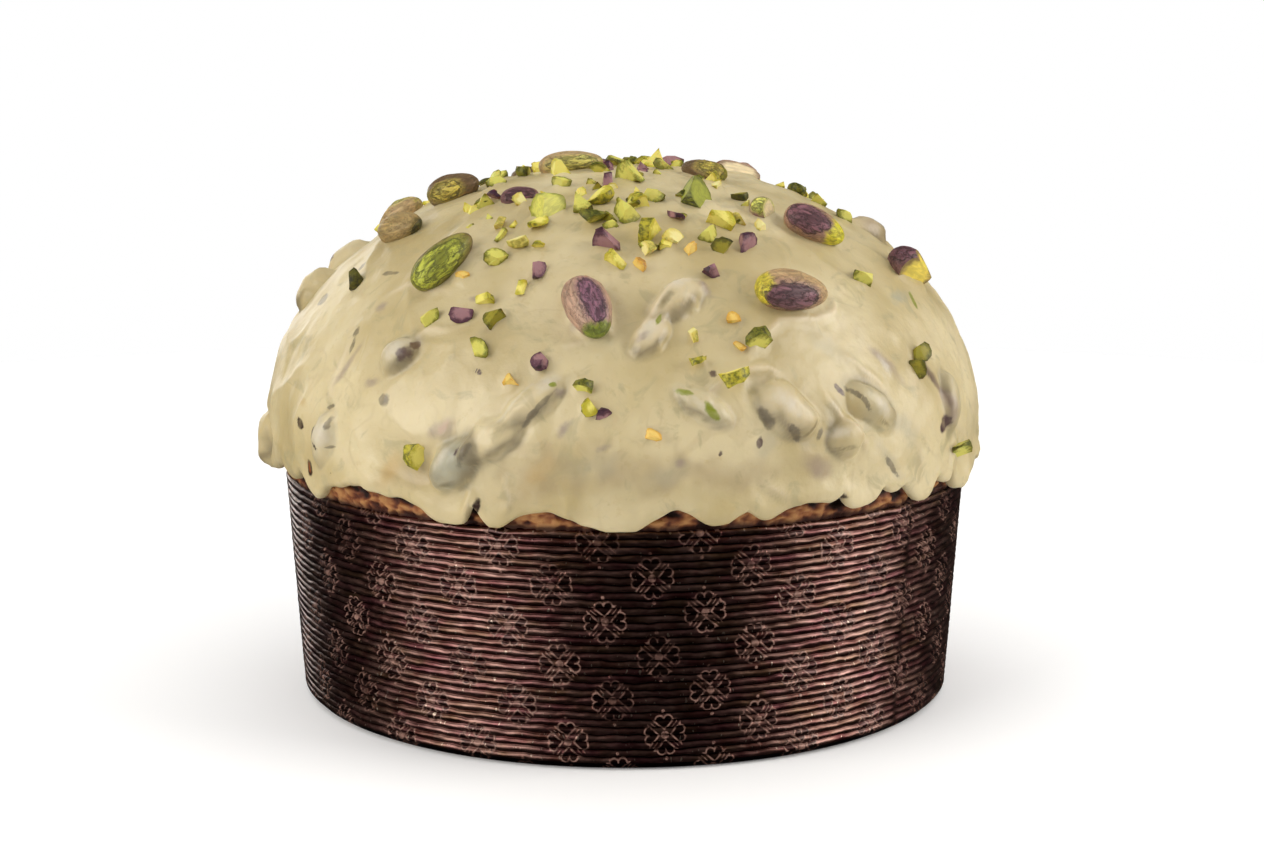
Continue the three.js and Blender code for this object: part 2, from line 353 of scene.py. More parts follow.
def corrugated_paper():
    made, book, surface = material("corrugated paper")
    place = book.place()
    x, y, height = book.split(place)
    turn = book.math("ARCTAN2", x, y * -1)
    worn = book.rise(book.mottle(place, 700), 0.3, 0.6)
    lines, petals = rosette_print(book, turn, height)
    faded = book.rise(book.mottle(place, 48, 2), 0.34, 0.56)
    ink = lines * (0.3 + 0.7 * worn) * (0.45 + 0.55 * faded)
    rib = book.stored("rib")
    phase = rib % 1
    crest = book.rise(phase, 0.08, 0.26) * (1 - book.rise(phase, 0.8, 0.97))
    along_rib = book.vector(turn * MID_RADIUS, height * 0.6, book.math("FLOOR", rib) * 0.01)
    streak = book.rise(book.mottle(book.stretch(along_rib, 1, 6, 1), 260, 2), 0.25, 0.75)
    blotch = book.mottle(along_rib, 110, 3)
    hue = book.rise(book.mottle(along_rib, 75, 2), 0.36, 0.64)
    foil = book.mix(hue, paint(114, 60, 64), paint(104, 74, 50))
    foil = book.mix(book.rise(blotch, 0.3, 0.75), foil, paint(150, 114, 104))
    rust = book.rise(book.mottle(along_rib, 140, 2), 0.56, 0.7)
    foil = book.mix(rust * 0.6, foil, paint(88, 32, 26))
    # Off the crests: near-black paper, which is painted shade in the grooves and print in the
    # petals
    foil = book.mix(crest * (0.35 + 0.65 * streak) * (1 - petals * 0.75), paint(36, 5, 4), foil)
    # Near-white specks on the crests: painted glints
    painted_glint = book.rise(book.mottle(along_rib, 900, 1), 0.68, 0.74) * crest
    foil = book.mix(painted_glint * 0.5, foil, paint(216, 196, 176))
    fibres = book.mottle(book.vector(turn * 0.06, height, 0.0), 2600)
    # The ink is weaker off the crests too, the same painted shade in the grooves
    book.feed_all(surface, {
        "Base Color": book.mix(ink * (0.6 + 0.4 * crest), foil, paint(150, 116, 104)),
        "Metallic": 0.97 * (1 - ink * 0.8), "Roughness": 0.25 + 0.16 * blotch,
        "Specular IOR Level": 0.05, "Coat Roughness": 0.26,
        "Coat Weight": crest * (0.2 + 0.6 * streak),
        "Normal": book.bump(fibres + lines, 0.12 * mm, 0.4)})
    return made


def ribbed_wall():
    """A sheet of so many ribs, rolled up round the axis"""
    book = Book(bpy.data.node_groups.new("ribbed wall", "GeometryNodeTree"))
    given = book.inputs({"Foot radius": "Float", "Rim radius": "Float", "Height": "Float",
                         "Foot bevel": "Float", "Rib depth": "Float", "Ribs": "Int",
                         "Steps round": "Int", "Steps per rib": "Int", "Material": "Material"})
    sheet = book.node("GeometryNodeMeshGrid", {
        "Size X": 1.0, "Size Y": 1.0, "Vertices X": given["Steps round"] + 1,
        "Vertices Y": given["Ribs"] * given["Steps per rib"] + 1})
    x, y, _ = book.split(book.node("GeometryNodeInputPosition"))
    turn = x * (2 * math.pi)
    share = y + 0.5
    height = given["Foot bevel"] + share * (given["Height"] - given["Foot bevel"])
    rib = share * given["Ribs"]
    round_rib = abs(book.math("SINE", rib * math.pi)) ** RIB_FLAT
    slope = (given["Rim radius"] - given["Foot radius"]) / given["Height"]
    spot = book.vector(book.math("SINE", turn), book.math("COSINE", turn) * -1, share * WALL_SHARE)
    dent = (book.mottle(spot, 2.6) - 0.5) * WALL_WAVE
    crumple = (book.mottle(book.stretch(spot, 1, 1, 12), 7) - 0.5) * (WALL_WAVE / 2)
    fold = book.rise(turn, SEAM_AT - SEAM_WIDTH, SEAM_AT)
    fold = fold * (1 - book.rise(turn, SEAM_AT, SEAM_AT + SEAM_FADE))
    radius = given["Foot radius"] + height * slope - given["Rib depth"] * (1 - round_rib)
    radius = radius - (rib % 1 - 0.5) * round_rib * RIB_LEAN
    radius = radius + dent + crumple - fold * SEAM_STEP
    ragged = (book.mottle(spot, 9, 3) - 0.5) * RIM_WAVE * book.rise(share, RAGGED_FROM, 1.0)
    own_rib = book.math("FLOOR", rib + 0.5)
    on_rib = book.vector(turn * MID_RADIUS / WAVER_LENGTH, own_rib * WAVER_APART, 0.0)
    inner = book.rise(share, 0.0, CALM_FOOT) * (1 - book.rise(share, CALM_RIM, 1.0))
    at_back = book.rise(abs(turn), *CALM_BACK)
    ragged = ragged + (book.mottle(on_rib, 1.0, 1) - 0.5) * RIB_WAVER * inner * (1 - at_back)
    rolled = book.vector(radius * book.math("SINE", turn), radius * book.math("COSINE", turn) * -1,
                         height + ragged)
    counted = book.node("GeometryNodeStoreNamedAttribute", {
        "Geometry": sheet, "Name": "rib", "Value": rib}, data_type="FLOAT")
    moved = book.node("GeometryNodeSetPosition", {"Geometry": counted, "Position": rolled})
    closed = book.node("GeometryNodeMergeByDistance", {"Geometry": moved, "Distance": 0.001 * mm})
    book.result(closed, given["Material"])
    return book


def fold_in(mesh):
    """Turns the paper in over the rim and under the foot, and closes it with the floor"""
    lining = RIB_DEPTH + LINER
    over_rim = ((RIM_RADIUS - RIB_DEPTH, CASE_HEIGHT + RIM_BEAD),
                (RIM_RADIUS - lining, CASE_HEIGHT), (FOOT_RADIUS - lining, FLOOR))
    under_foot = ((FOOT_RADIUS - RIB_DEPTH - FOOT_BEVEL / 3, FOOT_BEVEL / 3),
                  (FOOT_RADIUS - RIB_DEPTH - FOOT_BEVEL, 0))
    work = bmesh.new()
    work.from_mesh(mesh)
    middle = CASE_HEIGHT / 2
    rims = [[e for e in work.edges if e.is_boundary and (e.verts[0].co.z > middle) == upper]
            for upper in (True, False)]
    for edges, folds in zip(rims, (over_rim, under_foot)):
        for radius, height in folds:
            made = bmesh.ops.extrude_edge_only(work, edges=edges)["geom"]
            edges = [e for e in made if isinstance(e, bmesh.types.BMEdge) and e.is_boundary]
            for vert in {v for e in edges for v in e.verts}:
                ray = Vector((vert.co.x, vert.co.y, 0)).normalized() * radius
                vert.co = (ray.x, ray.y, height)
        bmesh.ops.contextual_create(work, geom=edges)
    bmesh.ops.triangulate(work, faces=[f for f in work.faces if len(f.verts) > 4])
    bmesh.ops.recalc_face_normals(work, faces=work.faces)
    for face in work.faces:
        face.smooth = True
    work.to_mesh(mesh)
    work.free()


case = grown("paper_wall", ribbed_wall(), {
    "Foot radius": FOOT_RADIUS, "Rim radius": RIM_RADIUS, "Height": CASE_HEIGHT,
    "Foot bevel": FOOT_BEVEL, "Rib depth": RIB_DEPTH, "Ribs": RIBS, "Steps round": WALL_STEPS,
    "Steps per rib": STEPS_PER_RIB, "Material": corrugated_paper()})
fold_in(case.data)
part_of_cake(case, "case_paper", "paper_case")


# The dough: a rich yeast dough, risen over the rim and baked brown. What shows of it is the
# craggy crust between the case and the glaze, torn where it swelled against the paper.
BELLY_RADIUS = 96.5 * mm
BELLY_HEIGHT = 77 * mm
TOP_HEIGHT = 140.5 * mm
TUCK_RADIUS = 93 * mm
ROUND_OUT = 2.25
ROUND_UP = 1.75
GLAZE = 3.2 * mm
GAP = 0.3 * mm
DOUGH_STEPS = 720
INSIDE_ROWS = 4
CRUST_ROWS = 40
COVERED_ROWS = 14
SHOULDER_CLIMB = -72
CRUST_TO = -18
CRUST_BULGE = 0.8 * mm
CRAGS = 1.92 * mm
CRAG_SIZE = 7 * mm
CRUMBLE = 0.6 * mm
CRUMBLE_SIZE = 2.2 * mm

# Holes torn in the crust: depth, half width, climb and half height in degrees, and their turns
HOLE_DEPTH = 2.2 * mm
HOLE_WIDTH = 1.1
HOLE_CLIMB = -42
HOLE_RISE = 16
HOLES = (-58, -22.4, 33.5, 41, 47, 56, 61, 92, 112, 150, 188, 229, 247)


def dome(turn, climb, out=0.0):
    """Points on the dome at a turn (0 in front, 90 at the right) and a climb (0 at the belly,
    90 at the top, -90 at the rim), in degrees"""
    turn, climb = np.radians(turn), np.radians(climb)
    belly = BELLY_RADIUS + out
    over = belly * np.clip(np.cos(climb), 0, 1) ** (2 / ROUND_OUT)
    under = (TUCK_RADIUS + out) * (1 - np.cos(climb)) + belly * np.cos(climb)
    radius = np.where(climb < 0, under, over)
    above = (TOP_HEIGHT + out - BELLY_HEIGHT) * np.clip(np.sin(climb), 0, 1) ** (2 / ROUND_UP)
    below = (BELLY_HEIGHT - CASE_HEIGHT) * np.sin(climb)
    height = BELLY_HEIGHT + np.where(climb < 0, below, above)
    return np.stack(np.broadcast_arrays(radius * np.sin(turn), -radius * np.cos(turn), height), -1)


def bell(far):
    """1 at 0 and less the farther from it"""
    return np.exp(-far ** 2)


def grains(points, size, octaves=2, stretch=(1, 1, 1)):
    """Noise of about -1 to 1 at each point, with grains of a given size"""
    scaled = points.reshape(-1, 3) * np.array(stretch) / size
    values = [noise.fractal(Vector(point), 1.0, 2.0, octaves) for point in scaled.tolist()]
    return np.array(values).reshape(points.shape[:-1])


def skin_over(name, rings, start, end):
    """A closed mesh over rings of points, each ring closed on itself, and a point at both ends"""
    count, steps = rings.shape[:2]
    points = np.vstack([rings.reshape(-1, 3), start, end])
    here = np.arange(steps)
    following = (here + 1) % steps
    first, last = count * steps, count * steps + 1
    faces = []
    for row in range(count - 1):
        low, high = row * steps, (row + 1) * steps
        faces += np.stack([low + here, low + following, high + following, high + here], 1).tolist()
    top = (count - 1) * steps
    faces += np.stack([following, here, np.full(steps, first)], 1).tolist()
    faces += np.stack([top + here, top + following, np.full(steps, last)], 1).tolist()
    mesh = bpy.data.meshes.new(name)
    mesh.from_pydata(points.tolist(), [], faces)
    mesh.polygons.foreach_set("use_smooth", [True] * len(mesh.polygons))
    return placed(name, mesh)


def store(mesh, name, kind, values, field="value"):
    """Keeps a value under a name for each point of a mesh"""
    mesh.attributes.new(name, kind, "POINT").data.foreach_set(field, values)


def baked_crust():
    made, book, surface = material("baked crust")
    place = book.place()
    _, _, height = book.split(place)
    crag = book.stored("crag")
    patches = book.mottle(place, 110, 4, 0.6)
    # Darkest in the deep crags and torn holes: painted shade in the hollows, over the crust's own
    # patchy tone
    crag_shade_and_tone = book.node("ShaderNodeValToRGB", {"Fac": crag * 0.5 + patches * 0.5}, stops=(
        (0.27, paint(38, 11, 5)), (0.45, paint(100, 46, 18)), (0.58, paint(140, 82, 38)),
        (0.76, paint(174, 122, 68))))
    # Darker just under the glaze's edge and just above the paper's rim: painted shade there
    shade_under_glaze = book.rise(height + (patches - 0.5) * (4 * mm), 64 * mm, 67 * mm)
    low = 1 - book.rise(height + (patches - 0.5) * (3 * mm), 60.2 * mm, 62.2 * mm)
    dark = book.most(shade_under_glaze * 0.8, low * 0.9)
    book.feed_all(surface, {
        "Base Color": book.mix(dark, crag_shade_and_tone, paint(52, 20, 10)), "Roughness": 0.5 + 0.3 * patches,
        "Normal": book.bump(book.mottle(place, 900, 3), 0.5 * mm, 0.7)})
    return made


def crust_rings():
    fit = RIB_DEPTH + LINER + GAP
    turns = np.arange(DOUGH_STEPS) * 360 / DOUGH_STEPS
    angles = np.radians(turns)
    ray = np.stack([np.sin(angles), -np.cos(angles), 0 * angles], 1)
    heights = np.linspace(FLOOR + GAP, CASE_HEIGHT - 2 * mm, INSIDE_ROWS)
    radii = FOOT_RADIUS - fit + heights / CASE_HEIGHT * (RIM_RADIUS - FOOT_RADIUS)
    inside = radii[:, None, None] * ray + heights[:, None, None] * np.array([0, 0, 1])
    climbs = np.linspace(SHOULDER_CLIMB, CRUST_TO, CRUST_ROWS)
    shown = dome(turns, climbs[:, None], -GLAZE)
    crags = grains(shown, CRAG_SIZE, 3, (1, 1, 1.6))
    crumble = grains(shown, CRUMBLE_SIZE, 3)
    depth = CRAGS * (0.3 - np.abs(crags)) + CRUMBLE * crumble
    for hole in HOLES:
        aside = ((turns - hole + 540) % 360 - 180) / HOLE_WIDTH
        above = (climbs[:, None] - HOLE_CLIMB) / HOLE_RISE
        depth = depth - HOLE_DEPTH * bell(aside) * bell(above)
    shown = shown + (CRUST_BULGE + depth)[..., None] * ray
    covered = dome(turns, np.linspace(CRUST_TO, 90, COVERED_ROWS + 2)[1:-1, None], -GLAZE)
    plain = [np.zeros(rings.shape[:2]) for rings in (inside, covered)]
    return np.concatenate([inside, shown, covered]), np.concatenate([plain[0], depth, plain[1]])


rings, depth = crust_rings()
crust = skin_over("crust", rings, (0, 0, FLOOR + GAP), (0, 0, TOP_HEIGHT - GLAZE))
store(crust.data, "crag", "FLOAT", np.append(0.5 + 0.5 * depth.ravel() / CRUMBLE, [0.5, 0.5]))
crust.data.materials.append(baked_crust())
part_of_cake(crust, "crust", "dough")


# The glaze: pistachio cream poured over the top, which has run down in tongues to the rim. Nuts
# that it drowned make swellings in it and show through where it is thin.
GLAZE_STEPS = 640
FACE_ROWS = 130
FRONT_SHARE = 0.4
LOW_SHARE = 0.25
LIP_ROWS = 6
LINING_ROWS = 9
EDGE_HEIGHT = 65.2 * mm
LIP_RADIUS = 1.45 * mm
EDGE_RAGGED = 0.9 * mm
EDGE_GRAIN = 7 * mm
LONGEST_TONGUE = 6
OVER_PAPER = 0.35 * mm
PAPER_EDGE = 0.4 * mm
LINING_LOW = 9 * mm
LINING_TOP = 86
LINING_START = 4
CLIMB_STEPS = 2000

# Swellings over drowned nuts, the crease round each one, and folds where the cream ran together,
# with shade painted beside the swellings and under the folds and a highlight painted along them
SWELLING_RISE = 0.36
SWELLING_BLEND = 0.6 * mm
SWELLING_COAT = 0.4 * mm
SWELLING_UNEVEN = 0.34
SWELLING_GRAIN = 7 * mm
CREASE = 0.16 * mm
CREASE_AT = 1.1
CREASE_WIDTH = 0.2
SHADE_WIDTH = 0.22
FOLD_WANDER = 0.8 * mm
FOLD_WANDER_SIZE = 9 * mm
FOLD_TAPER = 4 * mm
FOLD_HIGHLIGHT = 0.5
FOLD_SHADE = 0.3
UNDER_FOLD = 2.2 * mm

# Tongues of the lower edge, and the notches between them: turn, drop or rise in mm, half width
TONGUES = [
    (-80, 3.6, 6), (-63, 2.6, 4), (-55, 5.2, 3), (-26, 5.4, 5), (-19, 4.4, 3), (-1, 6, 6),
    (13, 4.2, 4), (21, 3.4, 3), (35, 3, 4), (52, 3, 4), (66, 5, 5), (84, 2.4, 6), (104, 5, 5),
    (121, 3, 4), (140, 5.6, 6), (160, 2.8, 4), (178, 5, 5), (199, 3.4, 4), (219, 5.4, 5),
    (238, 3, 4), (257, 4.6, 5)]
NOTCHES = [
    (-58, 2.4, 1.4), (-43, 1.6, 3), (-22.4, 3.4, 0.9), (-10, 0.8, 3), (33, 2.4, 1.1),
    (41, 1.8, 1), (46, 1.2, 1.5), (55.5, 3, 1.3), (60.5, 2.4, 1), (92, 2, 2), (112, 2.4, 1.2),
    (150, 1.8, 1.4), (188, 2.6, 1.2), (229, 2.2, 1), (247, 1.6, 1.6)]

# Colours that show through the glaze, and colours of shade and highlight painted on it, from 0 to
# 255, and how strongly they do. The shade and slate tints are painted shade, dim is partly painted
# shade over a brownish tone, milk is partly a painted highlight on pale lumps, and pale is also
# the highlight painted along the folds
TINTS = {
    "grey": (128, 126, 108, 0.85), "green": (122, 126, 62, 0.7), "mauve": (138, 116, 112, 0.6),
    "cream": (212, 196, 160, 0.3), "violet": (78, 52, 54, 0.85), "smoke": (172, 164, 138, 0.5),
    "straw": (186, 152, 90, 0.5), "brown": (96, 66, 40, 0.75), "pale": (226, 210, 180, 0.5),
    "leaf": (132, 140, 34, 0.85), "shade": (94, 82, 62, 0.6), "dim": (158, 136, 98, 0.5),
    "milk": (214, 206, 188, 0.55), "slate": (92, 82, 66, 0.62), "olive": (108, 96, 60, 0.6),
    "lilac": (146, 128, 120, 0.6), "stone": (164, 164, 146, 0.55), "dark": (50, 28, 18, 0.9),
    "rust": (140, 74, 34, 0.85), "pink": (198, 164, 144, 0.5)}

# Drowned nuts: turn, climb, heading in degrees, length and width in mm, tint, and the side on
# which shade is painted in the crease under them, in degrees from the right
SWELLINGS = [
    (-14, 15, 36, 19, 7, "cream", -50), (-19, 7, 36, 17, 9, "cream", -50),
    (-25, -4, 50, 16, 10.5, "grey", 10), (9, 38, 36, 16, 8.5, "pale", -70),
    (4, 30, 50, 12, 6.5, "pale", -80), (24, 13, -41, 18, 9.5, "pale", -135),
    (39, 12, -41, 18, 8.5, "smoke", 40), (33, 5, 20, 9, 9, "cream", 180),
    (-38, 24, 34, 13, 9, "smoke", -20), (-51, 0, 64, 13, 8, "smoke", 170),
    (-87, 32, 30, 13, 12, "cream", -90), (-80, -26, 60, 15, 9, "cream", -60),
    (88, 50, -60, 12, 9, "mauve", -90), (60, 9, 80, 16, 7, "smoke", 180),
    (11, 15, -35, 14, 6, "smoke", -120), (112, 20, 40, 17, 10, "smoke", -50),
    (133, 8, -30, 16, 9, "cream", -120), (150, 46, 60, 14, 10, "cream", -40),
    (168, 14, -50, 18, 9, "grey", -140), (188, 24, 30, 16, 9, "smoke", -60),
    (208, 6, 70, 15, 9, "cream", 180), (228, 20, -40, 17, 10, "smoke", -130),
    (246, 12, 20, 15, 9, "grey", -70), (263, 40, -60, 15, 10, "cream", 190)]

# Folds where the cream ran up against itself: height and half width in mm, then the places
# that they run through, each a turn and a climb
FLOW_FOLDS = [
    (1.0, 1.1, (10.7, 12.7), (12.5, 17.7), (16.6, 21.6), (21.6, 22.3), (25, 19.9)),
    (0.9, 1.0, (41.1, 38.1), (38.7, 33.5), (32.8, 31.7), (26.2, 32.1), (20.8, 27.4), (17.9, 22.6)),
    (0.9, 1.0, (2.4, 28.2), (3.2, 32.5), (5.1, 35.5), (8.4, 40), (12.3, 42.3), (16.3, 41.4)),
    (0.5, 0.9, (-11.9, 26.9), (-8.3, 27.9), (-4.6, 29.1)),
    (0.3, 1.2, (-51.3, 9.3), (-50.7, 18.5), (-50.9, 28.1)),
    (0.7, 1.3, (84.3, 37.1), (83.4, 28.7), (77.8, 19.4)),
    (0.6, 1.0, (18.9, -13.7), (21.7, -25.4), (25.3, -34)),
    (0.8, 1.0, (-36.4, 26.4), (-34, 29.5), (-28, 30)),
    (0.6, 0.9, (-17, -6.5), (-16.1, -32.5), (-18, -46.4)),
    (0.3, 1.2, (-49.6, 35.3), (-41.6, 39.7), (-31.4, 36.9)),
    (0.7, 1.0, (36.1, 25), (39.1, 19.7), (43.9, 14.3)),
    (0.9, 1.1, (30, 17), (33, 9), (37, 2), (36, -6)),
    (0.8, 1.1, (104, 34), (110, 27), (119, 24), (126, 27)),
    (0.8, 1.0, (140, 22), (147, 15), (156, 14)),
    (0.9, 1.1, (172, 38), (180, 32), (190, 33), (197, 38)),
    (0.8, 1.0, (214, 12), (220, 4), (222, -10)),
    (0.8, 1.1, (238, 34), (245, 28), (254, 27))]

# Nuts that only show through, and broad darker patches low on the front, painted shade over a
# brownish tone: turn, climb, heading, length and width in mm, tint
SHADOWS = [
    # The first four are broad patches of painted shade over a brownish tone, low on the front
    (-11, -9, 10, 24, 12, "dim"), (2, -5, -10, 28, 9, "dim"), (15, -10, 0, 24, 8, "dim"),
    (-32, -16, 10, 20, 7, "dim"), (34, 26, -40, 14, 6, "smoke"), (46, 4, -60, 16, 6, "smoke"),
    (-27, 8, 20, 7, 4, "mauve"), (39, 62, 10, 8, 4, "straw"), (20, 5, 30, 7, 6, "smoke"),
    (32, 12, 30, 6, 4, "smoke"), (45, 21, -50, 11, 3, "mauve"), (58, 9, -70, 13, 3, "mauve"),
    (56, 16, -60, 10, 3, "violet"), (42, -13, -50, 13, 2.6, "smoke"), (-4, 0, 20, 12, 6, "smoke"),
    (6, -8, 10, 9, 5, "smoke"), (-12, -9, 40, 10, 5, "straw"), (28, -8, -30, 9, 5, "mauve"),
    (-36, -14, 50, 10, 5, "straw"), (-8, 34, 80, 7, 4, "mauve"), (22, 36, 0, 9, 4, "cream"),
    (-49, 20, 70, 12, 2, "mauve"), (100, 14, 60, 8, 4, "violet"), (125, 30, -30, 8, 5, "grey"),
    (146, 10, 40, 9, 4, "leaf"), (160, 34, 20, 8, 4, "mauve"), (178, 4, -60, 9, 4, "straw"),
    (196, 12, 60, 7, 4, "violet"), (217, 34, -40, 9, 5, "smoke"), (236, 4, 30, 8, 4, "green"),
    (255, 26, -50, 8, 4, "violet")]

# Crisp marks where a drowned nut or a hole shows, by tint, the later laid over the earlier: turn,
# climb, heading, length and width in mm. Marks of painted shade lie beside and under the lumps,
# with dark nut edges among them, and painted highlights lie on the pale lumps
MARKS = {
    "stone": [(-24.8, -2.9, 50, 13.4, 7.7), (60, 34.7, 3, 13, 4.6)],
    "milk": [
        (-37.8, 24.3, 45, 9.05, 6.8), (-50.2, 1.9, 78, 7.61, 7.4), (-26.1, 0.8, 47, 7.48, 3.2),
        (23.3, 13.8, -45, 9.21, 4.6), (44.6, 20.2, -75, 7.57, 2.9), (40.1, 11.2, -57, 7.96, 5.3),
        (31.7, 6.4, 3, 6.14, 3.7), (9.3, 40.5, 28, 8.37, 4.7), (3.8, 30.8, 43, 7.97, 4.5),
        (-11.6, 19.2, 44, 8.46, 3.9), (-16.1, 14.5, 56, 13.2, 1.3), (10.5, 14.7, -48, 6, 2)],
    "cream": [(-38.1, 13.1, 30, 2.4, 2.2)],
    "lilac": [
        (-41.6, 16.8, 13, 5.83, 2.7), (-27.6, 37.5, 4, 3.59, 2.1), (-47.5, 33.6, 75, 3.71, 4.5),
        (14.3, 40.3, -56, 6.73, 3), (2.6, 28.8, 37, 5.15, 1.9), (-9.3, 17.6, 43, 3.62, 2.3),
        (-8.6, 9.4, 51, 5.5, 2.5), (-2.8, 5.1, 20, 4.09, 1.9), (7.7, 0.3, 59, 2.84, 2.7)],
    "pink": [(-26.8, 8.5, 50, 4.17, 2.5), (11.1, 29.5, -59, 3.34, 2.5)],
    "slate": [
        (-50.5, 27.4, 76, 3.05, 2.7), (-49.9, 24.5, 96, 5.24, 1.4), (-38.1, 13.2, 30, 3.59, 3.4),
        (-48.8, 5.3, 76, 4.23, 1.7), (-48.8, -5.5, 8, 2.73, 1.1), (-50.5, 9.3, 23, 4.37, 1.3),
        (-22.2, 2, 60, 7.85, 2.4), (-71.1, 32.1, 23, 6.5, 4.6), (-65.2, 41.6, 45, 4.01, 2.9),
        (-52.3, 41.5, 13, 6.39, 1.8), (20.3, 11, -61, 7.26, 2.9), (24.3, 7.2, -45, 6.43, 2.3),
        (36, 14.1, -56, 9.02, 1.5), (28.9, 6.6, 66, 4.19, 1.5), (42.1, -15.7, -50, 9.17, 1.7),
        (-12.5, 13.4, 50, 13.2, 1.5)],
    "olive": [
        (-38.7, 26.6, 26, 8.99, 1), (-25.4, -20.8, 16, 6.32, 1.5), (27, 8.1, 50, 6.44, 1.4),
        (40.6, 7.4, -24, 6.73, 1.3), (32.7, 2.3, 6, 7.03, 1.3), (6.8, 36.5, 43, 7.09, 2.2)],
    "straw": [(-58.7, 8.9, 72, 2.75, 4.3)],
    "leaf": [
        (64, 33, 60, 6, 1.8), (5.5, 32.6, 69, 4.36, 1.5), (-10.5, 19.1, 2, 1.98, 1.8),
        (8.6, 17.4, -22, 4.83, 1.8), (12.1, 13, -53, 5.99, 2.5)],
    "dark": [
        (-53, 1.9, 77, 3.57, 2.7), (-51.5, -6, -38, 3.9, 1.5), (-58.3, 3, -38, 3.96, 2.7),
        (-55.5, -30.5, -78, 4.6, 2.4), (-49.2, -28.5, -4, 1.83, 0.87),
        (32.8, -41.5, 61, 4.18, 2.8), (-21.6, -43.7, 70, 5.29, 2.3)],
    "rust": [(-55.6, -29.9, -78, 3.4, 1.1)],
    "brown": [(-34.7, 25.7, 77, 2.71, 2.5)],
    "violet": [
        (-35.8, 23.4, 47, 5.14, 3.2), (-23.4, 2.7, 30, 2.97, 1.9), (-22.5, 21.4, -32, 2.57, 1.6),
        (33.7, 16.1, -58, 4.29, 1.9), (19.2, 5.4, 76, 3.1, 1.6), (13.4, 3, 68, 1.89, 1.3),
        (56.7, 3.4, 39, 5.61, 4.6), (-22.6, 21.5, -15, 2.81, 1.5), (13.2, 21.5, -45, 2.42, 2.1)],
}

# The same on each swelling of the side turned away: place and size as shares of the swelling's.
# The pale cap is partly a painted highlight, and the strip along one side is painted shade
MARKS_ON_A_SWELLING = {
    "milk": (0.1, 0.1, 0.6, 0.5), "violet": (0.62, -0.1, 0.22, 0.5), "slate": (0, -0.75, 0.7, 0.14)}

# Marks with a soft edge, the others having a crisp one, as shares of a mark's radius
SOFT_MARKS = ("stone", "milk", "cream", "lilac", "pink", "straw", "olive")
SOFT_EDGE = (0.2, 1.3)
CRISP_EDGE = (0.65, 1.1)
MARK_RAGGED = 1.1
FAR_OFF = 9.0
OVAL_DEPTH = 14 * mm


def tinted(tint):
    """A tint's colour and how strongly it shows"""
    *colour, strength = TINTS[tint]
    return paint(*colour), strength


def swell(turn, climb):
    """The slow unevenness of the glaze's face"""
    turn, climb = np.radians(turn), np.radians(climb)
    slow = 0.5 * np.sin(3 * turn + 0.7) * np.cos(2.3 * climb)
    return (slow + 0.35 * np.sin(7 * turn + 2) * np.cos(4 * climb + 1)) * np.cos(climb) * mm


def glaze_point(turn, climb):
    return dome(turn, climb, swell(turn, climb))


def normalised(vectors):
    return vectors / np.maximum(np.linalg.norm(vectors, axis=-1, keepdims=True), 1e-12)


def glaze_axes(turn, climb):
    """Unit vectors to the right, upwards and outwards on the glaze's face"""
    step = 0.5
    right = normalised(glaze_point(turn + step, climb) - glaze_point(turn - step, climb))
    upward = normalised(glaze_point(turn, climb + step) - glaze_point(turn, climb - step))
    outward = normalised(np.cross(right, upward))
    return right, np.cross(outward, right), outward


def glaze_seat(turn, climb, heading, rise=0.0):
    """Place and axes (along, across, outward) of a thing on the glaze, turned to a heading"""
    right, upward, outward = glaze_axes(turn, climb)
    angle = math.radians(heading)
    along = right * math.cos(angle) + upward * math.sin(angle)
    return glaze_point(turn, climb) + outward * rise, along, np.cross(outward, along), outward


def round_trip(turn, centre):
    """How far a turn is from a centre, in degrees, either way round"""
    return np.abs((turn - centre + 540) % 360 - 180)


def bumps(turn, table):
    """How far each tongue or notch moves the edge at each turn, in mm"""
    return [size * bell(round_trip(turn, centre) / half) for centre, size, half in table]


def edge_height(turn):
    """Height of the lower edge at each turn, and the tongue's share of the longest one"""
    angle = np.radians(turn)
    wave = 0.5 * np.sin(5 * angle) + 0.4 * np.sin(11 * angle + 1)
    drop = np.max(bumps(turn, TONGUES), axis=0)
    rise = np.sum(bumps(turn, NOTCHES), axis=0)
    on_edge = np.stack([np.sin(angle), -np.cos(angle), 0 * angle], -1) * BELLY_RADIUS
    ragged = grains(on_edge, EDGE_GRAIN) * EDGE_RAGGED
    height = EDGE_HEIGHT + (wave - drop + rise) * mm + ragged
    return np.maximum(height, CASE_HEIGHT + OVER_PAPER), drop / LONGEST_TONGUE


def ovals(points, spots, coat=0.0):
    """For each oval spot, how far each point lies from its middle, as a share of its radius,
    and the point's side of it, as an angle from the right"""
    for turn, climb, heading, length, width, *rest in spots:
        place, along, across, outward = glaze_seat(turn, climb, heading)
        offset = points - place
        side = math.radians(heading) + np.arctan2(offset @ across, offset @ along)
        far = offset @ along / (length * mm / 2 + coat)
        aside = offset @ across / (width * mm / 2 + coat)
        deep = offset @ outward / OVAL_DEPTH
        yield np.sqrt(far ** 2 + aside ** 2 + deep ** 2), rest, width * mm / 2 + coat, side


